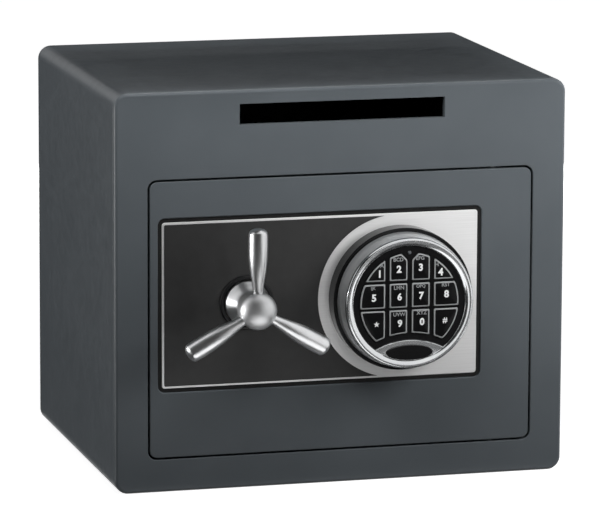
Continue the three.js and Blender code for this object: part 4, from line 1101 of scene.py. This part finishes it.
def printed(name, words, middle_at, height, bold, finish, key):
    """Words as a thin solid, height high and centred on a point, with its face just above the key's crown."""
    text = bpy.data.curves.new(name, "FONT")
    text.body = words
    text.offset = bold
    text.extrude = 0.4      # any depth will do, because ink_levels gives the real one
    text.resolution_u = 3
    holder = add_object(name, text)
    bpy.context.view_layer.update()
    mesh = bpy.data.meshes.new_from_object(holder.evaluated_get(bpy.context.evaluated_depsgraph_get()))
    bpy.data.objects.remove(holder)
    flat = np.zeros(len(mesh.vertices) * 3)
    mesh.vertices.foreach_get("co", flat)
    flat = flat.reshape(-1, 3)
    low, high = flat.min(axis=0), flat.max(axis=0)
    place = middle_at + (flat[:, :2] - (low + high)[:2] / 2) * height / (high[1] - low[1])
    out = np.where(flat[:, 2] > 0, *ink_levels(key, place))
    mesh.vertices.foreach_set("co", stand_up(np.column_stack([place, out])).ravel())
    mesh.materials.clear()
    mesh.materials.append(finish)
    ink_rides(add_object(name, mesh), key)


for key, (letters, from_middle, from_digit) in MARKS.items():
    digit_at = middle(f"key_{key}") + np.array(from_middle) * MM
    if key == "hash":
        printed("printed_mark_hash", "#", digit_at, HASH_HEIGHT, HASH_BOLD, white_ink, key)
    else:
        printed(f"printed_mark_{key}", key, digit_at, DIGIT_HEIGHT, DIGIT_BOLD, white_ink, key)
    if letters:
        letters_at = digit_at + np.array(from_digit) * MM
        printed(f"printed_letters_{key}", letters, letters_at, LETTER_HEIGHT, LETTER_BOLD, grey_ink, key)
star_middle = middle("key_star") + np.array(STAR_PLACE) * MM


def star_outline(grow=0.0):
    """Five pointed star: ten points whose radius alternates between 1 and STAR_NOTCH of STAR_RADIUS."""
    radius = STAR_RADIUS * np.where(np.arange(10) % 2, STAR_NOTCH, 1) + grow
    return round_about(star_middle, radius, radius, np.pi / 2 + full_turn(10))


star = plate("printed_mark_star", [skirt(star_outline, *ink_levels("star", star_outline()))], [white_ink])
ink_rides(star, "star")
print("marks:", ", ".join(MARKS), "and a star")

# %% [markdown]
# The rest of the safe is sheet, bar and casting: the wrap, the chute, the hinges, the bolt work and the lock.
# Such parts leave the shop with their edges broken, so each gets a finer copy. The copy's corners are merged,
# its flat facets are joined into single faces, and a narrow bevel runs along every edge sharper than 35
# degrees.

# %% Machined, folded and cast parts
SHARP_EDGE = math.radians(35)
FLAT_EDGE = math.radians(0.5)
# The width of the broken edge in millimetres, and the parts that have it.
EDGES = {
    0.3: ["deposit_chute", "chute_baffle", "door_pan", "lock_cover", "keypad_board", "anchor_plug_left",
          "anchor_plug_right", "keypad_led", "pan_screw_1", "pan_screw_2", "pan_screw_3", "pan_screw_4"],
    0.5: ["hinge_bracket_top", "hinge_bracket_bottom", "hinge_pin_top", "hinge_pin_bottom",
          "hinge_knuckle_top", "hinge_knuckle_bottom", "keeper_bar", "dog_bar", "bolt_guide",
          "bolt_carriage", "handle_spindle", "handle_crank", "keypad_membrane", "lock_solenoid"],
    0.8: ["cabinet_shell", "lock_case", "battery_pack", "floor_mat"],
    1.0: ["locking_bolt_top", "locking_bolt_bottom", "swing_bolt"],
}


def join_flat_facets(work):
    """Dissolve the edges between facets that lie in one plane."""
    bmesh.ops.dissolve_limit(work, angle_limit=FLAT_EDGE, verts=work.verts, edges=work.edges)


def machined(node, edge_mm):
    """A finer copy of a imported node: a bevel of edge_mm, in two steps, on every edge above SHARP_EDGE."""
    packed = frame["nodes"][node]
    mesh = packed.data.copy()
    mesh.transform(packed.matrix_world)
    weld(mesh, join_flat_facets)
    piece = add_object(f"finished_{node}", mesh)
    bevel = piece.modifiers.new("broken_edges", "BEVEL")
    bevel.width, bevel.segments = edge_mm * MM, 2
    bevel.limit_method, bevel.angle_limit = "ANGLE", SHARP_EDGE
    bevel.miter_outer = "MITER_ARC"
    ride_and_replace(smooth_out(piece), [node])


for edge_mm, nodes in EDGES.items():
    for node in nodes:
        machined(node, edge_mm)
print("finished copies:", sum(len(nodes) for nodes in EDGES.values()))
